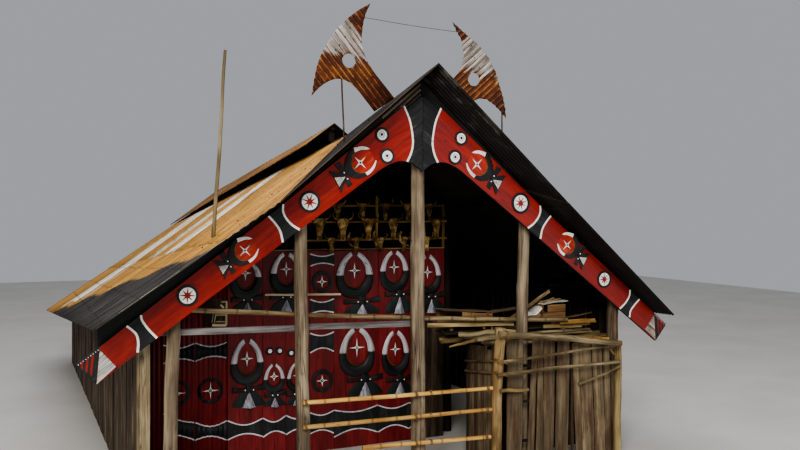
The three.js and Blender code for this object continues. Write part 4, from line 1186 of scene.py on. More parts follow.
def mithun_board(p, t3, gm, cx, cz, seed, k=1.0, eye=(0.0, 0.0)):
    """Horned head lying along the board, horns open towards the gable's tip. Offsets in metres from the star."""
    q = lambda pts: [(cx + x * k, cz + y * k) for x, y in pts]
    # ring field
    plate(p, q(spline([(-0.07, 0.15), (0.05, 0.165), (0.14, 0.11), (0.185, 0.0), (0.17, -0.09), (0.10, -0.155), (0.0, -0.165), (-0.09, -0.12), (-0.15, -0.03), (-0.14, 0.08)], 4, True)),
          t3, 0.0, 0.0015, "ringred", gmap=gm, seed=seed)
    # black crescent with a carved step
    outer = [(0.150, 0.178), (0.205, 0.140), (0.245, 0.080), (0.272, 0.0), (0.285, -0.075), (0.275, -0.150), (0.225, -0.205), (0.160, -0.232), (0.075, -0.243), (0.0, -0.222), (-0.052, -0.196)]
    inner = [(-0.022, -0.163), (0.035, -0.172), (0.085, -0.165), (0.140, -0.130), (0.175, -0.075), (0.185, -0.015), (0.178, 0.035), (0.160, 0.085), (0.134, 0.116)]
    cres = spline(outer, 4) + spline(inner, 4)
    plate(p, q(cres), t3, 0.0, 0.016, "black", gmap=gm, bev=0.006, steps=2, shade=True, seed=seed)
    # thin bare lip inside the crescent
    lipo = spline(inner, 4)
    lip = lipo + [(x - 0.012 * math.copysign(1, x) * 0.6 - 0.004, y * 0.94 + 0.004) for x, y in reversed(lipo)]
    plate(p, q([(x, y) for x, y in lip]), t3, 0.0, 0.008, "lip", gmap=gm, seed=seed)
    # white horns
    h1 = spline([(-0.092, 0.172), (-0.030, 0.200), (0.050, 0.204), (0.156, 0.180)], 5) + spline([(0.132, 0.116), (0.085, 0.138), (0.020, 0.158), (-0.040, 0.160)], 5)
    h2 = spline([(-0.055, -0.198), (-0.115, -0.150), (-0.165, -0.080), (-0.190, 0.012)], 5) + spline([(-0.178, 0.016), (-0.150, -0.040), (-0.100, -0.108), (-0.022, -0.163)], 5)
    for h in (h1, h2):
        plate(p, q(h), t3, 0.0, 0.016, "white", gmap=gm, bev=0.005, steps=2, shade=True, seed=seed)
    # star with a dark eye
    s_ = []
    for i in range(16):
        a = math.radians(43 + i * 22.5)
        rr = (0.116, 0.030, 0.024, 0.030)[i % 4]
        s_.append((rr * math.cos(a), rr * math.sin(a)))
    ex, ez = eye
    plate(p, q([(x + ex, y + ez) for x, y in s_]), t3, 0.0, 0.005, "white", gmap=gm, seed=seed)
    plate(p, q(circle(ex, ez, 0.015, n=14)), t3, 0.0, 0.0065, "black", gmap=gm, seed=seed)
    # crossed ears, black face with two spikes, and the striped white muzzle
    for ear in ([(0.258, -0.150), (0.350, -0.018), (0.430, -0.060), (0.312, -0.190)], [(0.228, -0.215), (0.164, -0.325), (0.223, -0.370), (0.290, -0.250)]):
        plate(p, q(ear), t3, 0.0, 0.014, "black", gmap=gm, bev=0.004, seed=seed)
    face = [(0.248, -0.180), (0.300, -0.170), (0.508, -0.150), (0.437, -0.238), (0.364, -0.368), (0.330, -0.442), (0.262, -0.255), (0.236, -0.228)]
    plate(p, q(face), t3, 0.0, 0.017, "black", gmap=gm, bev=0.004, steps=2, seed=seed)
    plate(p, q([(0.272, -0.222), (0.430, -0.238), (0.361, -0.362)]), t3, 0.0, 0.021, "fan", gmap=gm, bev=0.003, seed=seed)
    for f in (0.16, 0.33, 0.50, 0.67, 0.84):
        x1, z1 = 0.430 + (0.361 - 0.430) * f, -0.238 + (-0.362 + 0.238) * f
        x0, z0 = 0.272 + (x1 - 0.272) * 0.35, -0.222 + (z1 + 0.222) * 0.35
        plate(p, q(ribbon([(x0, z0), (x1 - 0.004, z1)], 0.0032)), t3, 0.0, 0.0218, "grey_black", gmap=gm, seed=seed)
    for x, z in ((0.290, -0.166), (0.241, -0.250)):
        plate(p, q(circle(x, z, 0.0105, n=10)), t3, 0.0, 0.0225, "white", gmap=gm, bev=0.002, seed=seed)


def disc(p, t3, gm, cx, cz, R, r, dot, seed):
    plate(p, circle(cx, cz, R, n=44), t3, 0.0, 0.014, "black", holes=[circle(cx, cz, r * 0.98, n=44)], gmap=gm, bev=0.004, steps=2, shade=True, seed=seed)
    plate(p, circle(cx, cz, r, n=44), t3, 0.0, 0.006, "white", gmap=gm, seed=seed)
    plate(p, circle(cx + 0.004, cz + 0.004, dot * 2.15, n=24), t3, 0.0, 0.0072, "snout", holes=[circle(cx + 0.004, cz + 0.004, dot * 1.72, n=24)], gmap=gm, seed=seed)
    plate(p, circle(cx + 0.004, cz + 0.004, dot, n=18), t3, 0.0, 0.012, "black", gmap=gm, bev=0.003, seed=seed)


def sun(p, t3, gm, cx, cz, R, r, s, seed, rot):
    plate(p, circle(cx, cz, R, n=48), t3, 0.0, 0.014, "black", holes=[circle(cx, cz, r * 0.98, n=48)], gmap=gm, bev=0.004, steps=2, shade=True, seed=seed)
    plate(p, circle(cx, cz, r, n=48), t3, 0.0, 0.006, "white", gmap=gm, seed=seed)
    # eight thin rays, dark at their tips and red towards the middle
    for mt, ro, ri, dz in (("joint", 1.08, 0.33, 0.0080), ("red", 0.84, 0.34, 0.0092)):
        st = []
        for i in range(16):
            a = rot + i * math.pi / 8
            rr = s * ro * (1.04 if i % 4 == 0 else 0.90) if i % 2 == 0 else s * ri
            st.append((cx + rr * math.cos(a), cz + rr * math.sin(a)))
        plate(p, st, t3, 0.0, dz, mt, gmap=gm, seed=seed)


def low_edge(a):
    pts = BOARD[1:-1]
    for (a0, z0), (a1, z1) in zip(pts, pts[1:]):
        if a0 <= a <= a1:
            return z0 + (z1 - z0) * (a - a0) / (a1 - a0)
    return pts[-1][1]


def topside(a0, a1, n=2):
    return [(a, top(a) - 0.001) for a in np.linspace(a0, a1, n)]


def lowside(a0, a1, n=14):
    return [(a, low_edge(a) + 0.001) for a in np.linspace(a0, a1, n)]


M["ringred"] = paint("faded_ring_red", srgb(170, 44, 26), srgb(128, 22, 16), srgb(206, 92, 66), srgb(120, 60, 40), wear=0.6, gloss=(0.4, 0.6), dirt=0.25)
for side in (-1, 1):
    tag = "left" if side < 0 else "right"
    arcC, arcD = spline(ARC_C[side], 6), spline(ARC_D[side], 6)
    t3 = board3d(side)
    gm = board_g(40 + side)
    p = Piece()
    # the sawn board itself
    b3 = lambda P, t3=t3: t3(np.stack([P[:, 0], P[:, 1], P[:, 2]], 1))
    plate(p, BOARD, b3, -0.050, 0.0, "grey_black", gmap=gm, bev=0.004, steps=1, side="grey_black", back=True, seed=1)
    # painted fields, each a thin coat on the board; their r makes the left board's fields lighter and the right board's
    # darker, darkest at its low end: painted light and shade
    ed = 0.0012
    fields = [
        (list(arc0) + lowside(0.27, 1.80, 30) + list(arcA)[::-1], "red"),
        (list(arcB)[::-1][::-1] + lowside(2.075, 3.625 if side > 0 else 3.68, 4) + list(arcC)[::-1], "red"),
        (list(arcD) + [(3.86 if side > 0 else 3.93, low_edge(3.86 if side > 0 else 3.93) + 0.001), (4.415, 1.842), (4.375, 2.298)], "red"),
    ]
    for k, (pts, mt) in enumerate(fields):
        plate(p, pts, t3, 0.0, ed, mt, gmap=board_g(60 + side + 3 * k), seed=k, r=((0.85, 0.80, 0.55) if side < 0 else (0.55, 0.15, 0.0))[k])
    for k, a_ in enumerate((arc0, arcA, arcB, arcC, arcD)):
        plate(p, ribbon(a_, 0.026, 0.030), t3, 0.0, 0.0028, "white", gmap=gm, seed=k)
    # motifs
    disc(p, t3, gm, 0.630, 5.055, 0.106, 0.076, 0.020, 1)
    disc(p, t3, gm, *((0.552, 4.760) if side < 0 else (0.528, 4.775)), 0.108, 0.078, 0.020, 2)
    mithun_board(p, t3, board_g(70 + side), 0.905, 4.680, 3, 1.0, (0.050, -0.022) if side < 0 else (0.0, 0.0))
    sun(p, t3, gm, 1.683, 4.112, 0.146 if side < 0 else 0.160, 0.116 if side < 0 else 0.126, 0.105, 4, 0.30)
    mithun_board(p, t3, board_g(80 + side), 2.548, 3.472, 5, 0.86 if side < 0 else 0.92, (0.022, -0.010))
    sun(p, t3, gm, 3.310, 2.898, 0.137, 0.108, 0.096, 6, 0.05)
    # tip: hatched white wedge, black end with slanting red stripes
    # the right tip takes the darker hatched copy: dirt and painted shade
    plate(p, [(4.374, 2.262), (4.185, 2.045), (4.412, 1.843)], t3, 0.0, 0.0016, "hatch" if side < 0 else "shaded_dirty_tip", gmap=gm, seed=7)
    for i in range(5):
        f0, f1 = 0.12 + i * 0.17, 0.20 + i * 0.17
        A_ = (4.372 + (4.185 - 4.372) * f0, 2.285 + (2.045 - 2.285) * f0)
        B_ = (4.372 + (4.418 - 4.372) * f0, 2.285 + (1.846 - 2.285) * f0)
        plate(p, ribbon([A_, B_], 0.006), t3, 0.0, 0.0024, "grey_black", gmap=gm, seed=i)
    plate(p, [(4.376, 2.285), (4.422, 1.846), (4.642, 2.096)], t3, 0.0, 0.0016, "black", gmap=gm, seed=8)
    for i in range(3):
        f0 = 0.22 + i * 0.24
        A_ = np.array((4.380 + 0.262 * f0, 2.285 - 0.190 * f0))
        B_ = np.array((4.424 + 0.216 * f0, 1.862 + 0.236 * f0))
        A2_, B2_ = A_ + (B_ - A_) * 0.08, A_ + (B_ - A_) * 0.90
        plate(p, [tuple(A2_), tuple(A2_ + (0.030, -0.022)), tuple(B2_ + (0.022, 0.022)), tuple(B2_)], t3, 0.0, 0.0028, "red", gmap=gm, seed=9)
    for i in range(9):
        f0 = 0.05 + i / 8 * 0.9
        plate(p, circle(4.381 + 0.255 * f0, 2.272 - 0.186 * f0, 0.006, n=8), t3, 0.0, 0.0028, "white", gmap=gm, seed=9)
    # open joints between the board's planks
    for pts in ([(0.02, 5.36), (0.10, 5.27), (0.165, 5.20), (0.45, 5.035), (0.70, 4.86)], [(0.006, 5.06), (0.15, 4.99)], [(0.006, 4.78), (0.14, 4.90)],
                [(2.06, 3.70), (2.45, 3.40), (3.0, 2.985)], [(3.4, 2.95), (3.84, 2.60)], [(1.1, 4.50), (1.5, 4.20)]):
        plate(p, ribbon(spline(pts, 4), 0.005, 0.002), t3, 0.0, 0.0019, "joint", gmap=gm, seed=3)
    p.make("bargeboard_%s_painted" % tag, "bargeboard_" + tag)
    # the black rafter behind it closes the band up to the sheets
    p = Piece()
    fx, fz, ez = (1.873, 4.268, 5.63 - 0.675 * 4.4 - 0.0675 - 0.03) if side < 0 else (1.945, 4.225, 2.285)
    raft = [(0.006, 5.86), (0.006, 5.30), (4.4, top(4.4) - 0.22), (4.4, ez - 0.02), (fx, fz - 0.022)]
    plate(p, raft, t3, -0.110, -0.056, "rafter", gmap=board_g(90 + side), bev=0.004, steps=1, side="rafter", back=True, seed=11)
    for i in range(9):
        a_ = 0.35 + 0.46 * i
        for dz in (0.10, 0.24):
            plate(p, circle(a_, top(a_) + dz, 0.010, n=8), t3, -0.056, -0.0535, "nail", gmap=gm, seed=i)
    if side < 0:
        # ribbed brown-grey strips on the rafter's face near the peak, running down the slope
        for i, u1 in enumerate((0.60, 0.74, 0.88, 0.97, 1.02, 0.90, 0.78)):
            zt = [5.815 - 0.074 * i - (5.86 - top(4.4) + 0.22) * u_ / 4.4 for u_ in (0.012, u1)]
            plate(p, ribbon([(0.012, zt[0]), (u1, zt[1])], 0.030), t3, -0.056, -0.0535, "peakstrip", gmap=board_g(120 + i), seed=20 + i)
    p.make("front_rafter_%s_timber" % tag, "front_rafter_" + tag)


def floor_mat():
    n = Mat("studio_floor")
    v = n.place()
    a = n.noise(v, 0.5, 4, 0.6)
    b = n.noise(v, 26.0, 4, 0.6)
    col = n.ramp(n.math("ADD", n.math("MULTIPLY", a, 0.6), n.math("MULTIPLY", b, 0.4)), [(0.35, srgb(196, 192, 186)), (0.65, srgb(210, 207, 202))])
    return n.done(col, n.ramp(b, [(0.3, 0.85), (0.7, 0.75)]), n.bump(b, 0.12, 0.002), 0.0, 0.3)


M["floor"] = floor_mat()


# ---------------------------------------------------------------- more builders
def ribbed(p, loops, rib, to3d, mat, back=None, lift=0.0, th=0.0012, ref=0.0, r=0.5, t=0.0, seed=0, amp=AMP, pitch=PITCH, cross=0.0):
    """A shape cut from corrugated iron, or paint on it: the ribs run along the direction rib."""
    L2 = []
    for k, L in enumerate(loops):
        L = [tuple(q) for q in L]
        a = area2(L)
        if (k == 0 and a < 0) or (k > 0 and a > 0):
            L.reverse()
        L2.append(L)
    rib = unit(np.array(rib, float))
    c = np.array([rib[1], -rib[0]])
    P = np.array([q for L in L2 for q in L])
    us, ss = P @ c, P @ rib
    step = pitch / 8
    k0, k1 = math.ceil((us.min() - ref) / step + 1e-4), math.floor((us.max() - ref) / step - 1e-4)
    extra = []
    for k in range(k0, k1 + 1):
        u = ref + k * step
        extra.append([tuple(c * u + rib * (ss.min() - 0.01)), tuple(c * u + rib * (ss.max() + 0.01))])
    if cross:
        k = math.ceil(ss.min() / cross)
        while k * cross < ss.max():
            extra.append([tuple(c * (us.min() - 0.01) + rib * k * cross), tuple(c * (us.max() + 0.01) + rib * k * cross)])
            k += 1
    V, F, _ = triangulate(L2, extra)
    used = sorted(set(i for f in F for i in f))
    new = {o: i for i, o in enumerate(used)}
    V = V[used]
    F = [tuple(new[i] for i in f) for f in F]
    u = V @ c
    h = lift - amp + amp * np.cos(2 * math.pi * (u - ref) / pitch)
    front = np.column_stack([V, h])
    rear = np.column_stack([V, h - th])
    n = len(V)
    cnt = {}
    for f in F:
        for i in range(len(f)):
            cnt[(f[i], f[(i + 1) % len(f)])] = 1
    edge = [e for e in cnt if (e[1], e[0]) not in cnt]
    Q = to3d(np.concatenate([front, rear]))
    faces = list(F)
    mt = [mat] * len(F)
    sm = [True] * len(F)
    for a, b in edge:
        faces.append((b, a, a + n, b + n))
        mt.append(mat)
        sm.append(False)
    if back:
        faces += [tuple(i + n for i in reversed(f)) for f in F]
        mt += [back] * len(F)
        sm += [True] * len(F)
    q = to3d(np.array([[0, 0, 0.0], [1, 0, 0], [0, 1, 0], [0, 0, 1]]))
    if np.dot(np.cross(q[1] - q[0], q[2] - q[0]), q[3] - q[0]) < 0:
        faces = [tuple(reversed(f)) for f in faces]
    rs = np.random.RandomState(seed + 40)
    G = np.stack([V @ rib, u, h], 1)
    G = np.concatenate([G, G]) + np.append(rs.uniform(-9, 9, 2), 0.0)
    if callable(t):
        t = t(V)
        t = np.concatenate([t, t])
    p.add(Q, faces, mt, G, r, t, sm)


def resample(pts, n):
    P = np.array(pts, float)
    d = np.concatenate([[0], np.cumsum(np.linalg.norm(np.diff(P, axis=0), axis=1))])
    s = np.linspace(0, d[-1], n)
    return np.stack([np.interp(s, d, P[:, k]) for k in range(P.shape[1])], 1), d[-1]


def loft(p, outer, inner, to3d, prof, mat, N=36, M=10, seed=0, r=0.5, t=0.0, caps=(True, True)):
    """Carved moulding between two curves; prof(f, s) gives its depth across f and along s."""
    A, la = resample(inner, N + 1)
    B, lb = resample(outer, N + 1)
    f = np.linspace(0, 1, M + 1)
    P, G = [], []
    off = np.random.RandomState(seed + 6).uniform(-9, 9, 3)
    for i in range(N + 1):
        for j in range(M + 1):
            q = A[i] + (B[i] - A[i]) * f[j]
            d = prof(f[j], i / N)
            P.append((q[0], q[1], d))
            G.append((i / N * 0.5 * (la + lb) + off[0], f[j] * np.linalg.norm(B[i] - A[i]) + off[1], d + off[2]))
    F, sm = [], []
    w = M + 1
    for i in range(N):
        for j in range(M):
            F.append((i * w + j, i * w + j + 1, (i + 1) * w + j + 1, (i + 1) * w + j))
            sm.append(True)
    b = len(P)
    for i in (0, N):
        P.append((A[i][0], A[i][1], 0.0)); G.append(G[i * w])
        P.append((B[i][0], B[i][1], 0.0)); G.append(G[i * w + M])
    F.append(tuple([b] + [b + 1] + [j for j in range(M, -1, -1)])); sm.append(False)
    F.append(tuple([b + 2] + [N * w + j for j in range(0, M + 1)] + [b + 3])); sm.append(False)
    P = np.array(P)
    # orientation from the signed area of the first quads
    a = 0.0
    for k in F[:N * M]:
        x, y = P[list(k), 0], P[list(k), 1]
        a += 0.5 * np.sum(x * np.roll(y, -1) - np.roll(x, -1) * y)
    flip = a < 0
    q = to3d(np.array([[0, 0, 0.0], [1, 0, 0], [0, 1, 0], [0, 0, 1]]))
    if np.dot(np.cross(q[1] - q[0], q[2] - q[0]), q[3] - q[0]) < 0:
        flip = not flip
    if flip:
        F = [tuple(reversed(k)) for k in F]
    p.add(to3d(P), F, mat, G, r, t, sm)


def tube(p, pts, rad, mat, seg=8, seed=0, r=0.5, t=0.0, closed=False, smooth=True):
    """A thin tube along a line of points; rad is a number or one radius per point."""
    P = np.array(pts, float)
    n = len(P)
    R = np.full(n, rad) if np.isscalar(rad) else np.array(rad, float)
    if closed:
        T = np.roll(P, -1, 0) - np.roll(P, 1, 0)
    else:
        T = np.gradient(P, axis=0)
    T /= np.linalg.norm(T, axis=1, keepdims=True)
    ref = np.array([0.13, 0.31, 0.94])
    th = np.linspace(0, 2 * math.pi, seg, endpoint=False)
    V, G = [], []
    d = np.concatenate([[0], np.cumsum(np.linalg.norm(np.diff(P, axis=0), axis=1))])
    u = unit(np.cross(T[0], ref if abs(np.dot(T[0], ref)) < 0.9 else np.array([1.0, 0, 0])))
    for i in range(n):
        u = unit(u - T[i] * np.dot(u, T[i]))
        v = np.cross(T[i], u)
        for a in th:
            V.append(P[i] + R[i] * (u * math.cos(a) + v * math.sin(a)))
            G.append((d[i], R[i] * math.cos(a), R[i] * math.sin(a)))
    F = []
    m_ = n if closed else n - 1
    for i in range(m_):
        for j in range(seg):
            k = (j + 1) % seg
            i2 = (i + 1) % n
            F.append((i * seg + j, i * seg + k, i2 * seg + k, i2 * seg + j))
    sm = [smooth] * len(F)
    if not closed:
        F.append(tuple(reversed(range(seg))))
        F.append(tuple((n - 1) * seg + j for j in range(seg)))
        sm += [False, False]
    p.add(V, F, mat, np.array(G) + np.random.RandomState(seed).uniform(-9, 9, 3), r, t, sm)


def lash(p, c, axis, a, b, turns=3, pitch=0.011, rad=0.0045, seed=0, tilt=0.0, up=(0, 0, 1)):
    """Cane binding: a few turns round a crossing, wound about the axis in an oval a by b (b along up)."""
    rs = np.random.RandomState(seed + 17)
    ax = unit(axis)
    v = unit(np.asarray(up, float) - ax * np.dot(up, ax))
    u = np.cross(ax, v)
    pts = []
    N = 18 * turns
    for i in range(N + 1):
        th = i / 18 * 2 * math.pi
        k = 1 + 0.03 * rs.uniform(-1, 1)
        q = np.asarray(c, float) + u * a * k * math.cos(th) + v * b * k * math.sin(th) + ax * ((i / N - 0.5) * turns * pitch + tilt * math.sin(th))
        pts.append(q)
    tube(p, pts, rad, "rope", 6, seed, r=rs.uniform(0, 1))


def wallbox(p, x0, x1, z0, z1, y0, y1, mat, seed=0, ch=0.003, r=None, seg=6, ndir=(0, -1, 0)):
    board(p, ((x0 + x1) / 2, (y0 + y1) / 2, z0), ((x0 + x1) / 2, (y0 + y1) / 2, z1), (1, 0, 0), ndir, x1 - x0, abs(y1 - y0), mat, seg, ch, seed, warp=0.0015, edge=0.0012, r=r)


M["smoked"] = wood("smoked_pole", (srgb(60, 44, 22), srgb(128, 98, 50), srgb(180, 146, 84)), crack=0.4, bump=0.5, vary=0.4)
M["penplank"] = wood("pen_plank", (srgb(72, 61, 47), srgb(103, 88, 68), srgb(138, 121, 95)), crack=0.6, stain=srgb(76, 52, 38), bump=0.7, vary=0.85)
M["palestrip"] = wood("pale_strip", (srgb(140, 118, 84), srgb(206, 188, 150), srgb(236, 222, 188)), crack=0.4, bump=0.4, vary=0.3)
M["cornerplank"] = wood("corner_plank", (srgb(76, 66, 50), srgb(130, 114, 88), srgb(176, 160, 130)), crack=0.7, bump=0.6, vary=0.3)
M["crate"] = wood("crate_board", (srgb(76, 54, 32), srgb(124, 92, 58), srgb(164, 130, 88)), crack=0.4, bump=0.5, vary=0.3)
M["dimplank"] = wood("shaded_plank", (srgb(30, 24, 19), srgb(60, 49, 38), srgb(92, 77, 60)), crack=0.7, bump=0.8, vary=0.5)
M["flank"] = paint("dark_green_flank", srgb(26, 38, 36), srgb(12, 20, 19), srgb(44, 60, 56), srgb(60, 52, 42), wear=0.4, gloss=(0.45, 0.7), grain=1.4, dirt=0.1)
M["disc_red"] = paint("dark_disc_red", srgb(112, 20, 16), srgb(74, 10, 10), srgb(140, 34, 26), srgb(70, 34, 26), wear=0.4, gloss=(0.45, 0.65), dirt=0.3)

# ---------------------------------------------------------------- posts and long timbers
INX, PLX, BACK = 1.8, 3.62, 12.64
ridgeZ = lambda y: 5.315 - FALL * (y - 3.0) - 0.16
midL = lambda y: leftZ(INX, y) - 0.115
midR = lambda y: midL(y) - 0.05
plL = lambda y: leftZ(PLX, y) - 0.115
plR = lambda y: 2.86 - 0.0817 * (y - 0.25)
for name, a, b, r0, r1, sd in (
        ("post_centre", (0.062, 0.235, 0), (0.02, 0.235, ridgeZ(0.235) - 0.09), 0.107, 0.099, 1),
        ("post_inner_left", (-1.67, 0.30, 0), (-1.742, 0.30, midL(0.30) - 0.075), 0.097, 0.090, 2),
        ("post_inner_right", (1.885, 0.30, 0), (1.914, 0.30, midR(0.30) - 0.075), 0.096, 0.088, 3),
        ("post_outer_left", (-3.505, 0.325, 0), (-3.436, 0.325, plL(0.325) - 0.075), 0.092, 0.083, 4),
        ("post_outer_right", (3.678, 0.325, 0), (3.668, 0.325, plR(0.325) - 0.075), 0.092, 0.090, 5)):
    p = Piece()
    log(p, a, b, r0, r1, "post" if name != "post_outer_right" else "plank", 30, 60, 0.028, 0.18, sd * 7, r=0.45 + 0.1 * math.sin(sd * 2.3), dome=0.0, knots=7)
    p.make(name + "_timber", name)
for name, a, b, r0, r1 in (
        ("ridge_beam", (0, 0.135, ridgeZ(0.135)), (0, BACK - 0.01, ridgeZ(BACK - 0.01)), 0.08, 0.075),
        ("purlin_left", (-INX, 0.22, midL(0.22)), (-INX, BACK - 0.01, midL(BACK - 0.01)), 0.065, 0.065),
        ("purlin_right", (INX, 0.22, midR(0.22)), (INX, BACK - 0.01, midR(BACK - 0.01)), 0.065, 0.065),
        ("wall_plate_left", (-PLX, 0.25, plL(0.25)), (-PLX, BACK - 0.01, plL(BACK - 0.01)), 0.06, 0.06),
        ("wall_plate_right", (PLX, 0.25, plR(0.25)), (PLX, BACK - 0.01, plR(BACK - 0.01)), 0.06, 0.06)):
    p = Piece()
    log(p, a, b, r0, r1, "old", 16, 60, 0.04, 0.2, len(name), dome=0.0, knots=6)
    p.make(name + "_timber", name)
for y, tag in ((2.70, "front"), (7.6, "rear")):
    for sd in (-1, 1):
        name = "hall_post_%s_%s" % ("left" if sd < 0 else "right", tag)
        p = Piece()
        log(p, (sd * INX + (0.03 if sd > 0 else 0), y, 0), (sd * INX, y, (midL(y) if sd < 0 else midR(y)) - 0.075), 0.085, 0.075, "old", 18, 30, 0.03, 0.2, int(y * 3) + sd, dome=0.0)
        p.make(name + "_timber", name)

# ---------------------------------------------------------------- plank walls
rs = np.random.RandomState(12)
for side in (-1, 1):
    p = Piece()
    y = 0.452
    k = 0
    ztop = (lambda q: leftZ(3.9, q) - 0.05) if side < 0 else (lambda q: 2.68 + (2.576 - 2.68) * (q - 0.45) / 2.55 if q < 3 else 2.576 - FALL * (q - 3))
    while y < BACK - 0.02:
        w_ = min(rs.uniform(0.15, 0.27), BACK - 0.003 - y)
        if BACK - 0.003 - (y + w_) < 0.08:
            w_ = BACK - 0.003 - y
        yc = y + w_ / 2
        zt = ztop(yc) - rs.uniform(0.0, 0.05)
        xo = side * (3.87 + rs.uniform(-0.006, 0.006))
        board(p, (xo, yc, 0.0), (xo, yc, zt), (0, 1, 0), (side, 0, 0), w_ - rs.uniform(0.003, 0.010), 0.030, "wallplank", 9, 0.003, 500 + k + (200 if side > 0 else 0), warp=0.006, edge=0.003, cup=0.002, s1=rs.uniform(-0.08, 0.08), matb="old")
        y += w_
        k += 1
    # inner battens that hold the planks
    for z in (0.5, 1.5, 2.2):
        za = z - 0.02
        ye = BACK - 0.05
        if side > 0 and z > 2.0:
            za, ye = 1.62, BACK - 0.05
        if z > 2.0 and side < 0:
            za = 1.75
        log(p, (side * 3.812, 2.5, za), (side * 3.812, ye, za - (0.0 if z < 2 else 0.3)), 0.026, 0.024, "old", 8, 24, 0.04, 0.3, int(z * 9), knots=3)
    p.make("side_wall_%s_planks" % ("left" if side < 0 else "right"), "side_wall_%s" % ("left" if side < 0 else "right"))
p = Piece()
x = -3.897
k = 0
while x < 3.89:
    w_ = min(rs.uniform(0.15, 0.26), 3.897 - x)
    if 3.897 - (x + w_) < 0.08:
        w_ = 3.897 - x
    xc = x + w_ / 2
    e = abs(xc) + w_ / 2
    zt = (leftZ(e, 12.70) if xc < 0 else rightZ(e, 12.70)) - 0.055 - rs.uniform(0, 0.03)
    sl = (0.675 if xc < 0 else -0.685) * 0.9
    yo = 12.67 + rs.uniform(-0.006, 0.006)
    board(p, (xc, yo, 0.0), (xc, yo, zt), (1, 0, 0), (0, 1, 0), w_ - rs.uniform(0.003, 0.010), 0.030, "wallplank", 12, 0.003, 800 + k, warp=0.006, edge=0.003, cup=0.002, s1=0.0, matb="old")
    x += w_
    k += 1
# dark boards along the slopes close the slits above the planks' square tops
for sg, Z in ((-1, leftZ), (1, rightZ)):
    q = [(sg * 0.001, Z(0.0, 12.66) - 0.30), (sg * 3.86, Z(3.86, 12.66) - 0.30), (sg * 3.86, Z(3.86, 12.66) - 0.030), (sg * 0.001, Z(0.0, 12.66) - 0.030)]
    plate(p, q if sg > 0 else q[::-1], lambda P: np.stack([P[:, 0], 12.650 - P[:, 2], P[:, 1]], 1), 0.0, 0.014, "old", seed=860 + sg)
p.make("rear_wall_planks", "rear_wall")
p = Piece()
board(p, (-3.815, 0.4225, 0.0), (-3.815, 0.4225, 2.65), (1, 0, 0), (0, -1, 0), 0.165, 0.04, "cornerplank", 14, 0.003, 5, warp=0.003, edge=0.003)
for z in (0.35, 1.1, 1.9, 2.5):
    tube(p, [(-3.80, 0.402, z), (-3.80, 0.3985, z)], 0.005, "nail", 7)
p.make("corner_plank_board", "corner_plank_left")

# ---------------------------------------------------------------- painted wall
def wall3d(P):
    return np.stack([P[:, 0], WALL_Y - P[:, 2], P[:, 1]], 1)


def wall3g(y):
    return lambda P: np.stack([P[:, 0], y - P[:, 2], P[:, 1]], 1)


def upright_g(seed):
    o = np.random.RandomState(seed).uniform(-9, 9, 3)
    return lambda P: np.stack([P[:, 1], P[:, 0], P[:, 2]], 1) + o


def sag(x0, x1, zc0, zc1, zm, n=14, w=1.0):
    """Edge of a painted band: from corner to corner with a middle at zm."""
    out = []
    for i in range(n + 1):
        f = i / n
        b = zc0 + (zc1 - zc0) * f
        out.append((x0 + (x1 - x0) * f, b + (zm - 0.5 * (zc0 + zc1)) * math.sin(math.pi * f) ** w))
    return out


def band(p, x0, x1, top_, bot, to3d, gm, line=0.021, ribs=None, black="carved", seed=0):
    """Black band with white edges; top_ and bot are (left corner, right corner, middle)."""
    T = sag(x0, x1, top_[0], top_[1], top_[2])
    B = sag(x0, x1, bot[0], bot[1], bot[2])
    if ribs is None:
        plate(p, T + B[::-1], to3d, 0.0, 0.0014, black, gmap=gm, seed=seed)
        for E in (T, B):
            plate(p, ribbon(E, line), to3d, 0.0, 0.0026, "wallwhite", gmap=gm, seed=seed)
    else:
        ribbed(p, [T + B[::-1]], (0, 1), to3d, black, lift=0.0012, th=0.002, ref=ribs, seed=seed)
        for E in (T, B):
            ribbed(p, [ribbon(E, line)], (0, 1), to3d, "wallwhite", lift=0.0022, th=0.003, ref=ribs, seed=seed)


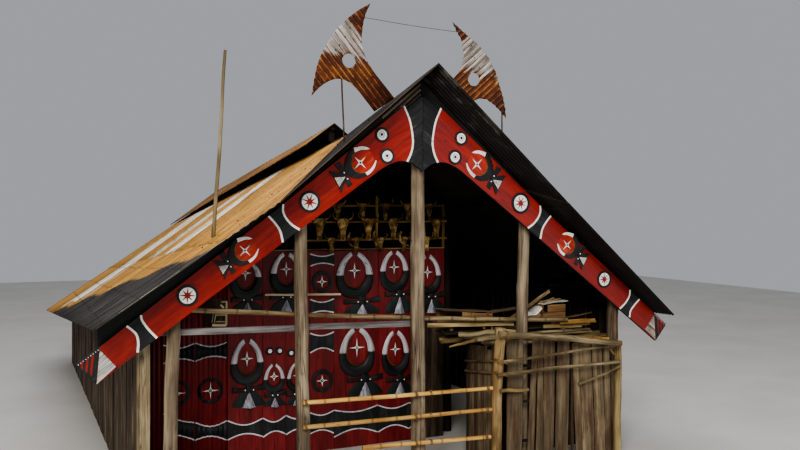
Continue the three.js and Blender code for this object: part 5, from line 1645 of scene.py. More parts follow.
def four_star(p, cx, cz, a, b, to3d, gm, d=0.0, ribs=None, seed=0, petals=0.075):
    pe = []
    for i in range(4):
        an = math.pi / 4 + i * math.pi / 2
        c, s = math.cos(an), math.sin(an)
        q = [(cx + c * 0.022 - s * 0.004, cz + s * 0.022 + c * 0.004), (cx + c * petals * 0.55 - s * 0.016, cz + s * petals * 0.55 + c * 0.016),
             (cx + c * petals, cz + s * petals), (cx + c * petals * 0.55 + s * 0.016, cz + s * petals * 0.55 - c * 0.016), (cx + c * 0.022 + s * 0.004, cz + s * 0.022 - c * 0.004)]
        pe.append(q)
    pts = []
    for i in range(8):
        an = i * math.pi / 4
        rr = (a if i % 4 == 0 else b) if i % 2 == 0 else 0.021
        pts.append((cx + rr * math.cos(an), cz + rr * math.sin(an)))
    ring_o, ring_i, dot = circle(cx, cz, 0.033, n=20), circle(cx, cz, 0.024, n=20), circle(cx, cz, 0.017, n=14)
    if ribs is None:
        for q in pe:
            plate(p, q, to3d, d, d + 0.0012, "carved", gmap=gm, seed=seed)
        plate(p, pts, to3d, d, d + 0.0024, "white", gmap=gm, seed=seed)
        plate(p, ring_o, to3d, d, d + 0.0034, "white", holes=[ring_i], gmap=gm, seed=seed)
        plate(p, circle(cx, cz, 0.024, n=20), to3d, d, d + 0.0028, "black", gmap=gm, seed=seed)
        plate(p, circle(cx, cz, 0.009, n=12), to3d, d, d + 0.0040, "white", gmap=gm, seed=seed)
    else:
        for q in pe:
            ribbed(p, [q], (0, 1), to3d, "carved", lift=0.0018, th=0.002, ref=ribs, seed=seed)
        ribbed(p, [pts], (0, 1), to3d, "white", lift=0.0026, th=0.002, ref=ribs, seed=seed)
        ribbed(p, [ring_o], (0, 1), to3d, "white", lift=0.0034, th=0.002, ref=ribs, seed=seed)
        ribbed(p, [ring_i], (0, 1), to3d, "black", lift=0.0042, th=0.002, ref=ribs, seed=seed)
        ribbed(p, [circle(cx, cz, 0.009, n=10)], (0, 1), to3d, "white", lift=0.005, th=0.002, ref=ribs, seed=seed)


OUT = [(-0.056, 0.319), (-0.131, 0.256), (-0.206, 0.144), (-0.25, 0.019), (-0.266, -0.069), (-0.269, -0.169), (-0.2375, -0.281), (-0.169, -0.369), (-0.069, -0.4125), (0.0, -0.42)]
INN = [(-0.029, 0.25), (-0.094, 0.181), (-0.144, 0.069), (-0.1625, -0.0625), (-0.156, -0.131), (-0.106, -0.219), (-0.044, -0.256), (0.0, -0.269)]


def split_at(pts, z):
    """Part of a falling line above z, and below z."""
    hi_, lo_ = [], []
    for a, b in zip(pts, pts[1:]):
        if a[1] >= z:
            hi_.append(a)
        else:
            lo_.append(a)
        if a[1] >= z > b[1]:
            f = (a[1] - z) / (a[1] - b[1])
            q = (a[0] + (b[0] - a[0]) * f, z)
            hi_.append(q)
            lo_.append(q)
    lo_.append(pts[-1])
    return hi_, lo_


def mithun(p, cx, cz, hw, htop, hbot, head_dx, apex, base, half, y, seed, small=False, star_a=(0.105, 0.125), depth=0.058):
    """Horned cattle head carved in relief. hw: half width, htop/hbot: horn tips and foot of the ring,
    head_dx: shift of the head, apex/base: muzzle heights, half: muzzle half width; all from the star."""
    t3 = wall3g(y)
    kx = hw / 0.269

    def mp(q):
        x, z = q
        return (x * kx, z * (htop / 0.319) if z > 0 else z * (hbot / 0.42))
    o = spline([mp(q) for q in OUT], 5)
    i_ = spline([mp(q) for q in INN], 5)
    zs = -0.065 * hbot / 0.42
    ou, ol = split_at(o, zs)
    iu, il = split_at(i_, zs)
    gm = upright_g(seed)
    k = depth
    fl = lambda P: [(cx + x, cz + z) for x, z in P]
    mr = lambda P: [(-x, z) for x, z in P]
    # painted field inside the ring
    plate(p, fl(i_ + mr(i_)[::-1][1:]), t3, 0.0, 0.0012, "wallred", gmap=gm, seed=seed)
    # white horns
    for f in (lambda P: P, mr):
        loft(p, fl(f(ou)), fl(f(iu)), t3, lambda a, s: k * (0.30 + 0.62 * min(1, s * 2.2)) * math.sin(math.pi * (0.04 + 0.92 * a)) ** 0.45, "wallwhite", 18, 8, seed, r=0.5)
    # ridged dark U; its sides meet at the foot
    Uo = fl(ol + mr(ol)[::-1][1:])
    Ui = fl(il + mr(il)[::-1][1:])
    loft(p, Uo, Ui, t3, lambda a, s: k * math.sin(math.pi * (0.03 + 0.94 * a)) ** 0.4 * (0.86 + 0.14 * abs(math.cos(a * math.pi * 4.5))), "carved", 44, 18, seed + 1, r=0.5)
    # bare inner lip
    Ul = [(x * 0.93, z * 0.93 if z < 0 else z) for x, z in (il + mr(il)[::-1][1:])]
    loft(p, fl(il + mr(il)[::-1][1:]), fl(Ul), t3, lambda a, s: 0.024 * (1 - a) ** 0.5 + 0.002, "lip", 36, 4, seed + 2)
    four_star(p, cx, cz, star_a[0] * kx ** 0.5, star_a[1] * kx ** 0.5, t3, gm, 0.0012, seed=seed, petals=0.07 * kx)
    # head
    hx = cx + head_dx
    zt = cz + hbot * -1 + 0.0
    za, zb = cz + apex, cz + base
    zn0, zn1 = zt + 0.03, za - 0.02
    ne = 0.052 * kx
    plate(p, [(hx - ne, zn0), (hx + ne, zn0), (hx + ne * 0.8, zn1), (hx - ne * 0.8, zn1)], t3, 0.0, k * 0.75, "carved", bev=0.012, steps=3, gmap=gm, shade=True, seed=seed)
    # flanks, dark and low
    fw = 0.27 * kx
    for s in (-1, 1):
        q = [(hx + s * 0.02, za + 0.01), (hx + s * fw * 0.42, za - 0.012), (hx + s * fw * 0.78, za - (za - zb) * 0.42), (hx + s * fw, za - (za - zb) * 0.80), (hx + s * fw * 0.96, za - (za - zb) * 0.93),
             (hx + s * half * 0.9, zb + 0.012)]
        plate(p, q, t3, 0.0, 0.014, "flank", bev=0.005, steps=2, gmap=gm, shade=True, seed=seed)
    # ears: bars that widen outwards, the left one level, the right one rising
    ew = 0.262 * kx
    for s in (-1, 1):
        up_ = 0.118 if s > 0 else 0.078
        lo_ = 0.024 if s > 0 else -0.004
        q = [(hx + s * 0.030, za + 0.052), (hx + s * ew * 0.5, za + 0.5 * (0.052 + up_) - 0.008), (hx + s * ew, za + up_), (hx + s * ew * 1.02, za + lo_), (hx + s * ew * 0.78, za + lo_ * 0.6), (hx + s * 0.030, za + 0.010)]
        plate(p, q, t3, 0.0, k * 0.6, "carved", bev=0.008, steps=2, gmap=gm, shade=True, seed=seed)
        plate(p, circle(hx + s * 0.066 * kx, za + 0.026, 0.013, n=12), t3, k * 0.55, k * 0.80, "white", gmap=gm, bev=0.004, steps=2, seed=seed)
    # muzzle: a three-sided wedge that stands out at its foot
    dm = 0.088
    A = (hx, za, 0.030)
    BL, BR, BM = (hx - half, zb, 0.006), (hx + half, zb - 0.006, 0.006), (hx + half * 0.06, zb - 0.002, dm)
    A0 = (hx, za, 0.0)
    V = t3(np.array([A, BL, BR, BM, A0]))
    F = [(0, 1, 3), (0, 3, 2), (1, 2, 3), (0, 4, 1), (0, 2, 4)]
    G = upright_g(seed + 9)(np.array([A, BL, BR, BM, A0]))
    p.add(V, F, ["snout", "snout", "carved", "carved", "carved"], G * 1.0, 0.5, 0.0, False)


JOINT = [-2.25, -1.675, -1.29, -0.88, -0.455, 0.35, 0.935, 1.24, 1.62]
pw = Piece()
ws = np.random.RandomState(31)
wy = {}
for i in range(len(JOINT) - 1):
    x0, x1 = JOINT[i] + 0.003, JOINT[i + 1] - 0.003
    if i == 7:
        x0 = JOINT[7] - 0.003
    y = WALL_Y + 0.004 + ws.uniform(0, 0.006)
    if i in (6, 7):
        y = WALL_Y + 0.006
    wy[i] = y
    nb = max(1, int(round((x1 - x0) / 0.19)))
    edges = [x0 + (x1 - x0) * j / nb for j in range(nb + 1)]
    for j in range(nb):
        a, b = edges[j] + (0.0008 if j else 0), edges[j + 1] - (0.0008 if j < nb - 1 else 0)
        if i == 7:
            wallbox(pw, a, b, 2.145, 3.325, y, WALL_Y + 0.036, "wallred", 40 + i * 5 + j, 0.0015, r=0.4 + ws.uniform(-0.2, 0.2), seg=10)
        else:
            wallbox(pw, a, b, 0.0, 3.325 - ws.uniform(0, 0.01), y, WALL_Y + 0.036, "wallred", 40 + i * 5 + j, 0.0015, r=0.5 + ws.uniform(-0.25, 0.25), seg=14)
# below the last panel the wall is bare dark planks
xx = 1.24
for j in range(3):
    wallbox(pw, xx + 0.004, xx + 0.122, 0.0, 2.12 - 0.03 * j, WALL_Y + 0.008, WALL_Y + 0.036, "dimplank", 90 + j, 0.003, seg=10)
    xx += 0.126
# bands
Y = lambda i: wall3g(wy[i])
gW = upright_g(3)
for i, (tp, bt) in {0: ((0.655, 0.640, 0.560), (0.350, 0.345, 0.420)), 1: ((0.640, 0.645, 0.560), (0.330, 0.345, 0.410)), 2: ((0.645, 0.640, 0.570), (0.330, 0.330, 0.40)),
                    3: ((0.650, 0.650, 0.590), (0.300, 0.270, 0.345)), 4: ((0.650, 0.665, 0.590), (0.20, 0.20, 0.30)), 5: ((0.655, 0.65, 0.58), (0.20, 0.20, 0.29)), 6: ((0.65, 0.65, 0.60), (0.20, 0.20, 0.28))}.items():
    band(pw, JOINT[i] + 0.004, JOINT[i + 1] - 0.004, tp, bt, Y(i), gW, seed=i)
band(pw, JOINT[3] + 0.004, JOINT[4] - 0.004, (1.965, 1.965, 1.915), (1.640, 1.640, 1.710), Y(3), gW, seed=21)
band(pw, JOINT[3] + 0.004, JOINT[4] - 0.004, (3.275, 3.270, 3.232), (3.075, 3.080, 3.120), Y(3), gW, seed=22)
band(pw, JOINT[3] + 0.004, JOINT[4] - 0.004, (2.525, 2.520, 2.470), (2.290, 2.290, 2.325), Y(3), gW, seed=23)
# upper row
mithun(pw, -1.96, 2.99, 0.260, 0.19, 0.42, 0.03, -0.45, -0.62, 0.085, wy[0], 101)
mithun(pw, -1.285, 3.035, 0.270, 0.275, 0.42, 0.00, -0.48, -0.69, 0.100, wy[1] - 0.001, 102)
mithun(pw, -0.09, 2.98, 0.335, 0.315, 0.47, 0.135, -0.555, -0.745, 0.105, wy[4], 103)
mithun(pw, 0.642, 3.02, 0.272, 0.285, 0.425, 0.10, -0.495, -0.80, 0.100, wy[5], 104)
mithun(pw, 1.285, 2.915, 0.262, 0.31, 0.40, 0.075, -0.455, -0.715, 0.090, wy[6], 105)
# lower row
mithun(pw, -1.935, 1.62, 0.269, 0.319, 0.42, 0.03, -0.525, -0.782, 0.110, wy[0], 111)
mithun(pw, -1.490, 1.30, 0.178, 0.21, 0.26, 0.012, -0.325, -0.4875, 0.069, wy[1], 112, star_a=(0.095, 0.095), depth=0.045)
mithun(pw, -1.105, 1.285, 0.172, 0.21, 0.26, 0.0, -0.325, -0.4875, 0.066, wy[2], 113, star_a=(0.08, 0.09), depth=0.045)
mithun(pw, -0.045, 1.675, 0.325, 0.344, 0.49, 0.15, -0.575, -0.83, 0.115, wy[4], 114, star_a=(0.13, 0.15))
mithun(pw, 0.668, 1.60, 0.262, 0.325, 0.46, 0.09, -0.555, -0.80, 0.105, wy[5], 115)
# ringed stars and eyes
for cx, cz, R, r_, i in ((-0.665, 1.165, 0.19, 0.125, 3), (-0.67, 2.81, 0.18, 0.12, 3)):
    plate(pw, circle(cx, cz, R, n=48), Y(i), 0.0, 0.020, "carved", holes=[circle(cx, cz, r_, n=48)], gmap=gW, bev=0.007, steps=3, shade=True, seed=3)
    plate(pw, circle(cx, cz, r_, n=40), Y(i), 0.0, 0.0016, "disc_red" if cz > 2 else "wallred", gmap=gW, seed=3)
    four_star(pw, cx, cz, 0.10, 0.10, Y(i), gW, 0.0016, seed=4)
for cx, cz, i in ((-1.565, 1.72, 1), (-1.400, 1.715, 1), (-1.205, 1.665, 2), (-1.03, 1.66, 2)):
    plate(pw, circle(cx, cz, 0.066, n=30), Y(i), 0.0, 0.016, "carved", gmap=gW, bev=0.005, steps=2, shade=True, seed=5)
    plate(pw, circle(cx + 0.004, cz - 0.003, 0.034, n=22), Y(i), 0.016, 0.0205, "white", gmap=gW, bev=0.003, seed=6)
pw.make("painted_wall_boards", "painted_wall")

ps = Piece()
def sheet3(dy):
    return lambda P: np.stack([P[:, 0], WALL_Y + 0.010 + dy - P[:, 2], P[:, 1]], 1)
ribbed(ps, [[(-3.832, 0.0), (-3.22, 0.0), (-3.22, 3.09), (-3.46, 2.945), (-3.50, 2.597), (-3.832, 2.597)]], (0, 1), sheet3(0.0), "wallred", "under", ref=-3.24, seed=1, r=0.2, th=0.002)
ribbed(ps, [[(-3.24, 0.0), (-2.755, 0.0), (-2.755, 3.327), (-2.89, 3.327), (-3.24, 3.095)]], (0, 1), sheet3(0.0015), "wallred", "under", ref=-3.24, seed=2, r=0.5, th=0.002)
ribbed(ps, [[(-2.775, 0.0), (-2.255, 0.0), (-2.255, 3.327), (-2.775, 3.327)]], (0, 1), sheet3(0.0), "wallred", "under", ref=-2.755, seed=3, r=0.6, th=0.002)
band(ps, -3.24, -2.758, (1.92, 1.92, 1.855), (1.635, 1.635, 1.69), sheet3(0.0015), None, ribs=-3.24, seed=32)
band(ps, -2.752, -2.258, (1.92, 1.90, 1.850), (1.635, 1.655, 1.695), sheet3(0.0), None, ribs=-2.755, seed=33)
band(ps, -3.24, -2.758, (0.86, 0.675, 0.735), (0.55, 0.40, 0.50), sheet3(0.0015), None, ribs=-3.24, seed=35)
band(ps, -2.752, -2.258, (0.675, 0.655, 0.590), (0.40, 0.345, 0.435), sheet3(0.0), None, ribs=-2.755, seed=36)
for cx, dy, rf_ in ((-2.515, 0.0, -2.755), (-3.03, 0.0015, -3.24)):
    ribbed(ps, [circle(cx, 1.155, 0.205, n=48), circle(cx, 1.155, 0.15, n=48)], (0, 1), sheet3(dy), "carved", lift=0.0016, th=0.002, ref=rf_, seed=41)
    four_star(ps, cx, 1.155, 0.135, 0.135, sheet3(dy), None, ribs=rf_, seed=5)
for x in (-3.24, -2.755):
    for z in (0.3, 1.0, 1.7, 2.4, 3.0):
        tube(ps, [(x, WALL_Y + 0.012, z), (x, WALL_Y + 0.0085, z)], 0.006, "nail", 7)
# light frame behind the sheets
for z in (0.45, 1.55, 2.50):
    wallbox(ps, -3.80, -2.28, z, z + 0.05, WALL_Y + 0.0305, WALL_Y + 0.0385, "old", int(z * 7), 0.001, seg=2)
# ragged gap at the sheets' edge: a dark plank patch paints the shade seen through it, and pale laths close it
plate(ps, [(-2.61, 2.35), (-2.60, 2.17), (-2.262, 2.165), (-2.262, 2.56), (-2.31, 2.575), (-2.37, 2.617), (-2.46, 2.60), (-2.53, 2.625), (-2.56, 2.56), (-2.615, 2.49)], wall3g(WALL_Y - 0.001), 0.0, 0.0015, "dimplank", gmap=upright_g(44), seed=44)
for j, (xa, za, xb, zb, w_) in enumerate(((-2.270, 2.180, -2.268, 2.555, 0.030), (-2.495, 2.189, -2.268, 2.178, 0.040), (-2.425, 2.240, -2.265, 2.234, 0.018), (-2.430, 2.345, -2.262, 2.337, 0.020),
                                          (-2.475, 2.363, -2.499, 2.226, 0.012), (-2.436, 2.361, -2.460, 2.224, 0.014), (-2.348, 2.548, -2.262, 2.552, 0.022), (-2.362, 2.505, -2.310, 2.450, 0.030))):
    d_ = unit((xb - xa, zb - za))
    board(ps, (xa, WALL_Y - 0.008 - 0.001 * (j % 2), za), (xb, WALL_Y - 0.008 - 0.001 * (j % 2), zb), (-d_[1], 0, d_[0]), (0, -1, 0), w_, 0.011, "palestrip", 5, 0.002, 720 + j, warp=0.001, edge=0.002, r=1.0)
ps.make("painted_wall_sheets_ribbed", "painted_wall_sheets")

# ---------------------------------------------------------------- skull rack
def skull(p, x, y, z, k, seed):
    """Horned cattle skull hung by its brow, muzzle down; k scales it."""
    rs = np.random.RandomState(seed + 600)
    prof = [(0.050, 0.030, 0.020), (0.046, 0.052, 0.036), (0.030, 0.066, 0.046), (0.010, 0.074, 0.050), (-0.018, 0.072, 0.048), (-0.045, 0.062, 0.044), (-0.070, 0.050, 0.040),
            (-0.105, 0.042, 0.036), (-0.145, 0.037, 0.032), (-0.185, 0.034, 0.029), (-0.215, 0.031, 0.026), (-0.230, 0.020, 0.016)]
    seg = 14
    tz, tx = rs.uniform(-0.12, 0.12), rs.uniform(-0.03, 0.03)
    V, G, T = [], [], []
    for (dz, w_, d_) in prof:
        for j in range(seg):
            a = 2 * math.pi * j / seg
            ca, sa = math.cos(a), math.sin(a)
            px = w_ * math.copysign(abs(ca) ** 0.85, ca)
            py = -d_ * 0.55 * math.copysign(abs(sa) ** 0.8, sa)
            dark = 0.0
            # dark paints shade into the eye sockets and nostril openings, which are also pressed in
            for s in (-1, 1):
                e = ((px - s * 0.052) / 0.018) ** 2 + ((dz + 0.030) / 0.020) ** 2
                if sa > 0.1 and e < 2.0:
                    py += 0.018 * math.exp(-e)
                    px -= s * 0.010 * math.exp(-e)
                    dark = max(dark, math.exp(-e * 0.6))
                e2 = ((px - s * 0.012) / 0.010) ** 2 + ((dz + 0.20) / 0.030) ** 2
                if sa > 0.3 and e2 < 2.0:
                    py += 0.008 * math.exp(-e2)
                    dark = max(dark, 0.9 * math.exp(-e2 * 0.7))
            V.append((px, py, dz))
            T.append(dark)
            G.append((px, py, dz))
    F = []
    n = len(prof)
    for i in range(n - 1):
        for j in range(seg):
            k2 = (j + 1) % seg
            F.append((i * seg + j, (i + 1) * seg + j, (i + 1) * seg + k2, i * seg + k2))
    F.append(tuple(range(seg)))
    F.append(tuple((n - 1) * seg + j for j in reversed(range(seg))))
    V = np.array(V) * k
    c, s = math.cos(tz), math.sin(tz)
    W = np.stack([x + tx * 0.3 + V[:, 0] * c - V[:, 1] * s, y + V[:, 0] * s + V[:, 1] * c, z + V[:, 2]], 1)
    rr = rs.uniform(0, 1)
    p.add(W, F, "bone", np.array(G) + rs.uniform(-9, 9, 3), rr, np.array(T), True)
    # horns: out, then up and in
    for sgn in (-1, 1):
        H = [(0.045, 0.0, 0.030), (0.080, -0.002, 0.034), (0.110, -0.006, 0.046), (0.128, -0.010, 0.070), (0.130, -0.012, 0.098), (0.118, -0.010, 0.124), (0.104, -0.006, 0.140)]
        H = [np.array((sgn * a * k * rs.uniform(0.96, 1.02), b, c_ * k)) for a, b, c_ in H]
        H = [np.array((x + tx * 0.3 + q[0] * c - q[1] * s, y + q[0] * s + q[1] * c, z + q[2])) for q in H]
        tube(p, H, [0.016, 0.0165, 0.015, 0.0125, 0.010, 0.006, 0.002], "bone", 7, seed, r=rr * 0.6, t=0.35)


sk = Piece()
yk = WALL_Y + 0.02
for i, x in enumerate((-0.98, 0.32, 1.60)):
    log(sk, (x, yk, 3.331), (x, yk, 4.12 if x > 1 else 4.24), 0.028, 0.024, "smoked", 10, 12, 0.05, 0.2, i, dome=0.0)
for i, (z, x0, x1) in enumerate(((3.50, -1.02, 1.66), (3.80, -1.02, 1.66), (4.07, -1.0, 1.60))):
    log(sk, (x0, yk - 0.012, z), (x1, yk - 0.008, z + 0.01), 0.022, 0.020, "smoked", 10, 34, 0.06, 0.3, 10 + i, dome=0.0, knots=5)
    xs, sc = (((-0.53, -0.10, 0.36, 0.80, 1.24), 0.92), ((-0.74, -0.33, 0.12, 0.58, 1.02, 1.42), 1.36), ((-0.80, -0.42, 0.02, 0.44, 0.86, 1.28), 1.05))[i]
    for j, x in enumerate(xs):
        skull(sk, x, yk - 0.110 if i == 1 else yk - 0.088, z, sc, i * 10 + j)
        tube(sk, [(x - 0.012, yk - 0.075, z + 0.02), (x - 0.008, yk - 0.030, z + 0.030), (x + 0.004, yk + 0.012, z + 0.008), (x + 0.008, yk - 0.02, z - 0.024), (x + 0.010, yk - 0.07, z + 0.0)], 0.003, "rope", 5, j)
# three long horns that hang below the middle row
for j, (x, xe, z0, z1) in enumerate(((-0.21, 0.00, 3.63, 3.36), (0.25, 0.42, 3.66, 3.35), (0.74, 0.90, 3.64, 3.38))):
    P = spline([(x + 0.01, z0), (x - 0.02, z0 - 0.08), (x - 0.01, z0 - 0.17), (x + 0.05, z1 + 0.04), ((x + xe) / 2 + 0.05, z1 + 0.01), (xe, z1)], 4)
    ff = np.linspace(0, 1, len(P))
    tube(sk, [(a, yk - 0.075 - 0.015 * math.sin(math.pi * f), b) for (a, b), f in zip(P, ff)], np.interp(ff, [0, 0.35, 0.8, 1], [0.018, 0.023, 0.014, 0.004]), "bone", 10, 640 + j, r=0.3, t=0.2)
# pole that lies on the top edge of the wall
log(sk, (-2.20, WALL_Y - 0.016, 3.347), (1.60, WALL_Y - 0.016, 3.340), 0.015, 0.013, "log", 8, 30, 0.06, 0.5, 61, r=0.7, dome=0.0)
sk.make("skull_rack_skulls", "skull_rack")

# ---------------------------------------------------------------- rails
p = Piece()
bamboo(p, (-3.45, 0.479, 2.690), (2.86, 0.479, 2.222), 0.036, 0.035, "cane", gap=0.42, seed=2, sag=0.036)
p.make("bamboo_pole_rail_cane", "bamboo_pole_rail")
p = Piece()
board(p, (-3.62, 0.445, 2.394), (-1.691, 0.445, 2.343), (0, 0, 1), (0, -1, 0), 0.088, 0.036, "rail", 16, 0.004, 3, warp=0.002, edge=0.003)
p.make("plank_rail_left_board", "plank_rail_left")
p = Piece()
board(p, (-1.68, 0.416, 2.365), (0.099, 0.416, 2.3205), (0, 0, 1), (0, -1, 0), 0.088, 0.034, "rail", 16, 0.004, 4, warp=0.002, edge=0.003)
p.make("plank_rail_centre_board", "plank_rail_centre")
p = Piece()
board(p, (-1.675, 2.2775, 2.6435), (-0.386, 2.2775, 2.603), (0, 0, 1), (0, -1, 0), 0.034, 0.013, "palestrip", 12, 0.002, 5, warp=0.002, edge=0.002)
p.make("short_strip_rail_lath", "short_strip_rail")
for nm, a, b, sd in (("fence_rail_top", (-1.735, 0.165, 1.36), (1.18, 0.02, 1.34), 11), ("fence_rail_middle", (-1.735, 0.165, 1.02), (1.17, 0.02, 1.02), 12),
                     ("fence_rail_bottom", (-0.88, 0.11, 0.65), (1.155, 0.02, 0.612), 13)):
    p = Piece()
    bamboo(p, a, b, 0.031, 0.029, gap=0.33, seed=sd)
    p.make(nm + "_cane", nm)

# ---------------------------------------------------------------- pen
p = Piece()
log(p, (1.24, 0.02, 0), (1.31, 0.02, 2.235), 0.076, 0.084, "cornerpost", 22, 40, 0.05, 0.25, 21, r=0.55, dome=0.0, knots=6)
p.make("pen_corner_post_timber", "pen_corner_post")
p = Piece()
log(p, (3.53, 0.02, 0), (3.52, 0.02, 1.82), 0.066, 0.059, "log", 18, 30, 0.04, 0.25, 22, r=0.4, dome=0.0, knots=5)
p.make("pen_end_post_timber", "pen_end_post")
# middle and width at the foot, middle and width at the top, height, tone
PENX = [(1.580, 0.262, 1.592, 0.296, 2.050, 0.50), (1.872, 0.120, 1.957, 0.098, 2.030, 0.55), (2.040, 0.128, 2.056, 0.096, 2.015, 0.45), (2.208, 0.190, 2.224, 0.205, 2.005, 0.35),
        (2.450, 0.246, 2.480, 0.232, 1.985, 0.45), (2.668, 0.046, 2.640, 0.040, 1.900, 0.10), (2.800, 0.110, 2.716, 0.150, 1.935, 0.60), (2.992, 0.226, 2.900, 0.222, 1.915, 0.85),
        (3.218, 0.206, 3.117, 0.180, 1.890, 0.90), (3.378, 0.100, 3.302, 0.138, 1.870, 0.60)]
p = Piece()
prs = np.random.RandomState(8)
for i, (xb, wb, xt, wt, zt, tn) in enumerate(PENX):
    yo = 0.046 + (0.004 if i % 2 else -0.001)
    board(p, (xb, yo, 0.0), (xt, yo, zt - prs.uniform(0.0, 0.02)), (1, 0, 0), (0, -1, 0), wb, 0.020, "penplank", 18, 0.004, 70 + i, warp=0.003, edge=0.006, cup=0.002, s1=prs.uniform(-0.12, 0.12), r=tn, w1=wt)
# short batten nailed across the corner post and the first plank
log(p, (1.262, -0.078, 1.305), (1.80, -0.002, 1.268), 0.030, 0.026, "log", 12, 16, 0.10, 0.5, 91, r=0.75)
# crooked brace in the upper right corner
log(p, (3.345, -0.005, 1.800), (3.430, -0.010, 1.700), 0.018, 0.015, "log", 8, 6, 0.06, 0.3, 92, r=0.9)
for z in (0.45, 1.05, 1.6):
    wallbox(p, 1.45, 3.43, z, z + 0.05, 0.0600, 0.0618, "old", int(z * 10), 0.0005, seg=2)
p.make("pen_front_boards", "pen_front_planks")
p = Piece()
yy = 0.125
i = 0
for w_ in (0.125, 0.150, 0.095, 0.165, 0.115, 0.150, 0.058):
    yc = yy + w_ / 2
    board(p, (1.3075, yc, 0.0), (1.3075, yc, 1.945 - 0.092 * (yc - 0.12) - prs.uniform(0, 0.06)), (0, 1, 0), (-1, 0, 0), w_ - 0.018, 0.026, "penplank", 14, 0.004, 110 + i, warp=0.003, edge=0.006, cup=0.002, r=(0.20, 0.85, 0.45, 0.95, 0.30, 0.75, 0.15)[i])
    yy += w_
    i += 1
# two crooked battens tied across the side's planks
log(p, (1.274, 0.088, 1.722), (1.272, 1.016, 1.586), 0.021, 0.018, "rail_log", 12, 26, 0.08, 0.35, 95, r=0.25, knots=4)
log(p, (1.274, 0.088, 1.540), (1.272, 1.012, 1.424), 0.020, 0.018, "rail_log", 12, 26, 0.08, 0.35, 96, r=0.20, knots=4)
p.make("pen_side_boards", "pen_side_planks")
p = Piece()
xx = 1.292
i = 0
while xx < 3.82:
    w_ = min(prs.uniform(0.13, 0.24), 3.833 - xx)
    xc = xx + w_ / 2
    board(p, (xc, 1.008, 0.0), (xc, 1.008, 1.85 - 0.090 * (xc - 1.29) - prs.uniform(0, 0.05)), (1, 0, 0), (0, -1, 0), w_ - 0.008, 0.027, "dimplank", 10, 0.004, 140 + i, warp=0.003, edge=0.004)
    xx += w_
    i += 1
p.make("pen_rear_boards", "pen_rear_planks")
p = Piece()
log(p, (1.21, -0.128, 2.165), (3.44, -0.156, 1.895), 0.052, 0.045, "rail_log", 20, 56, 0.07, 0.5, 31, r=0.75, dome=0.1, knots=7)
p.make("pen_top_log_timber", "pen_top_log")
for nm, a, b, r0, r1, sd in (("pen_rail_upper", (1.29, -0.095, 1.745), (3.40, -0.068, 1.858), 0.023, 0.021, 32), ("pen_rail_lower", (1.20, -0.100, 1.555), (3.485, -0.085, 1.59), 0.028, 0.026, 33),
                             ("pen_short_rail", (2.72, -0.03, 1.28), (3.49, -0.08, 1.51), 0.022, 0.020, 34)):
    p = Piece()
    log(p, a, b, r0, r1, "rail_log", 14, 40, 0.06, 0.7, sd, r=0.85 if sd != 32 else 0.6, dome=0.1, knots=6)
    p.make(nm + "_pole", nm)
for nm, y0, y1, z0, z1 in (("pen_bearer_front", 0.44, 0.54, 1.88, 1.9597), ("pen_bearer_rear", 0.84, 0.96, 1.86, 1.9597)):
    p = Piece()
    log(p, (1.332, (y0 + y1) / 2, (z0 + z1) / 2), (3.83, (y0 + y1) / 2, (z0 + z1) / 2), 0.038, 0.037, "log", 14, 30, 0.04, 0.3, int(y0 * 50), r=0.2, dome=0.0)
    p.make(nm + "_pole", nm)

# ---------------------------------------------------------------- poles, boards and boxes stored on the pen
p = Piece()
srs = np.random.RandomState(17)
for i, (x0, x1, y, z, r_, mt) in enumerate(((0.60, 3.40, 0.560, 1.995, 0.030, "log"), (0.80, 3.25, 0.900, 1.995, 0.032, "log"), (1.15, 3.42, 0.640, 1.995, 0.026, "smoked"), (1.10, 3.3, 0.720, 1.992, 0.028, "smoked"), (0.70, 2.9, 0.810, 1.992, 0.029, "log"), (0.95, 3.35, 0.500, 2.040, 0.026, "rail_log"))):
    log(p, (x0, y, z), (x1, y + srs.uniform(-0.02, 0.03), z + srs.uniform(0.0, 0.01)), r_, r_ * 0.85, mt, 10, 30, 0.06, 0.7, 200 + i, knots=3)
for i, (x, r_) in enumerate(((1.51, 0.034), (2.82, 0.034), (2.1, 0.028))):
    log(p, (x, 0.50, 2.062), (x + 0.02, 0.97, 2.058), r_, r_ * 0.9, "log", 10, 14, 0.05, 0.4, 220 + i)
for i, (x0, x1, y, z, w_, mt) in enumerate(((0.66, 3.19, 0.62, 2.108, 0.13, "dimplank"), (0.75, 3.12, 0.76, 2.112, 0.12, "penplank"), (0.70, 3.05, 0.89, 2.108, 0.12, "dimplank"))):
    board(p, (x0, y, z), (x1, y + srs.uniform(-0.01, 0.02), z + srs.uniform(-0.003, 0.008)), (0, 1, 0), (0, 0, 1), w_, 0.020, mt, 10, 0.002, 230 + i, warp=0.004, edge=0.004, r=srs.uniform(0.4, 1))
# a yellow board on edge just below the cane rail, and its prop
board(p, (0.35, 0.540, 2.262), (1.88, 0.540, 2.205), (0, 0, 1), (0, -1, 0), 0.060, 0.022, "yellowplank", 12, 0.003, 236, warp=0.003, edge=0.004, r=0.9)
log(p, (1.515, 0.600, 2.03), (1.510, 0.580, 2.215), 0.018, 0.016, "log", 8, 4, 0.05, 0.2, 237)
# freshly split boards at the right, beyond the end of the cane rail
for i, (x0, y0, z0, x1, y1, z1, w_, mt) in enumerate(((2.74, 0.50, 2.190, 3.46, 0.52, 2.178, 0.070, "splitplank"), (2.62, 0.58, 2.150, 3.40, 0.60, 2.142, 0.085, "splitplank"), (2.45, 0.55, 2.125, 3.20, 0.56, 2.105, 0.060, "yellowplank"),
                                                   (2.98, 0.66, 2.235, 3.47, 0.62, 2.300, 0.030, "dimplank"))):
    board(p, (x0, y0, z0), (x1, y1, z1), (0, 0.25, 1), (0, -1, 0.25), w_, 0.024, mt, 8, 0.003, 240 + i, warp=0.004, edge=0.006, r=0.95 - 0.1 * i, s0=0.2, s1=-0.3)


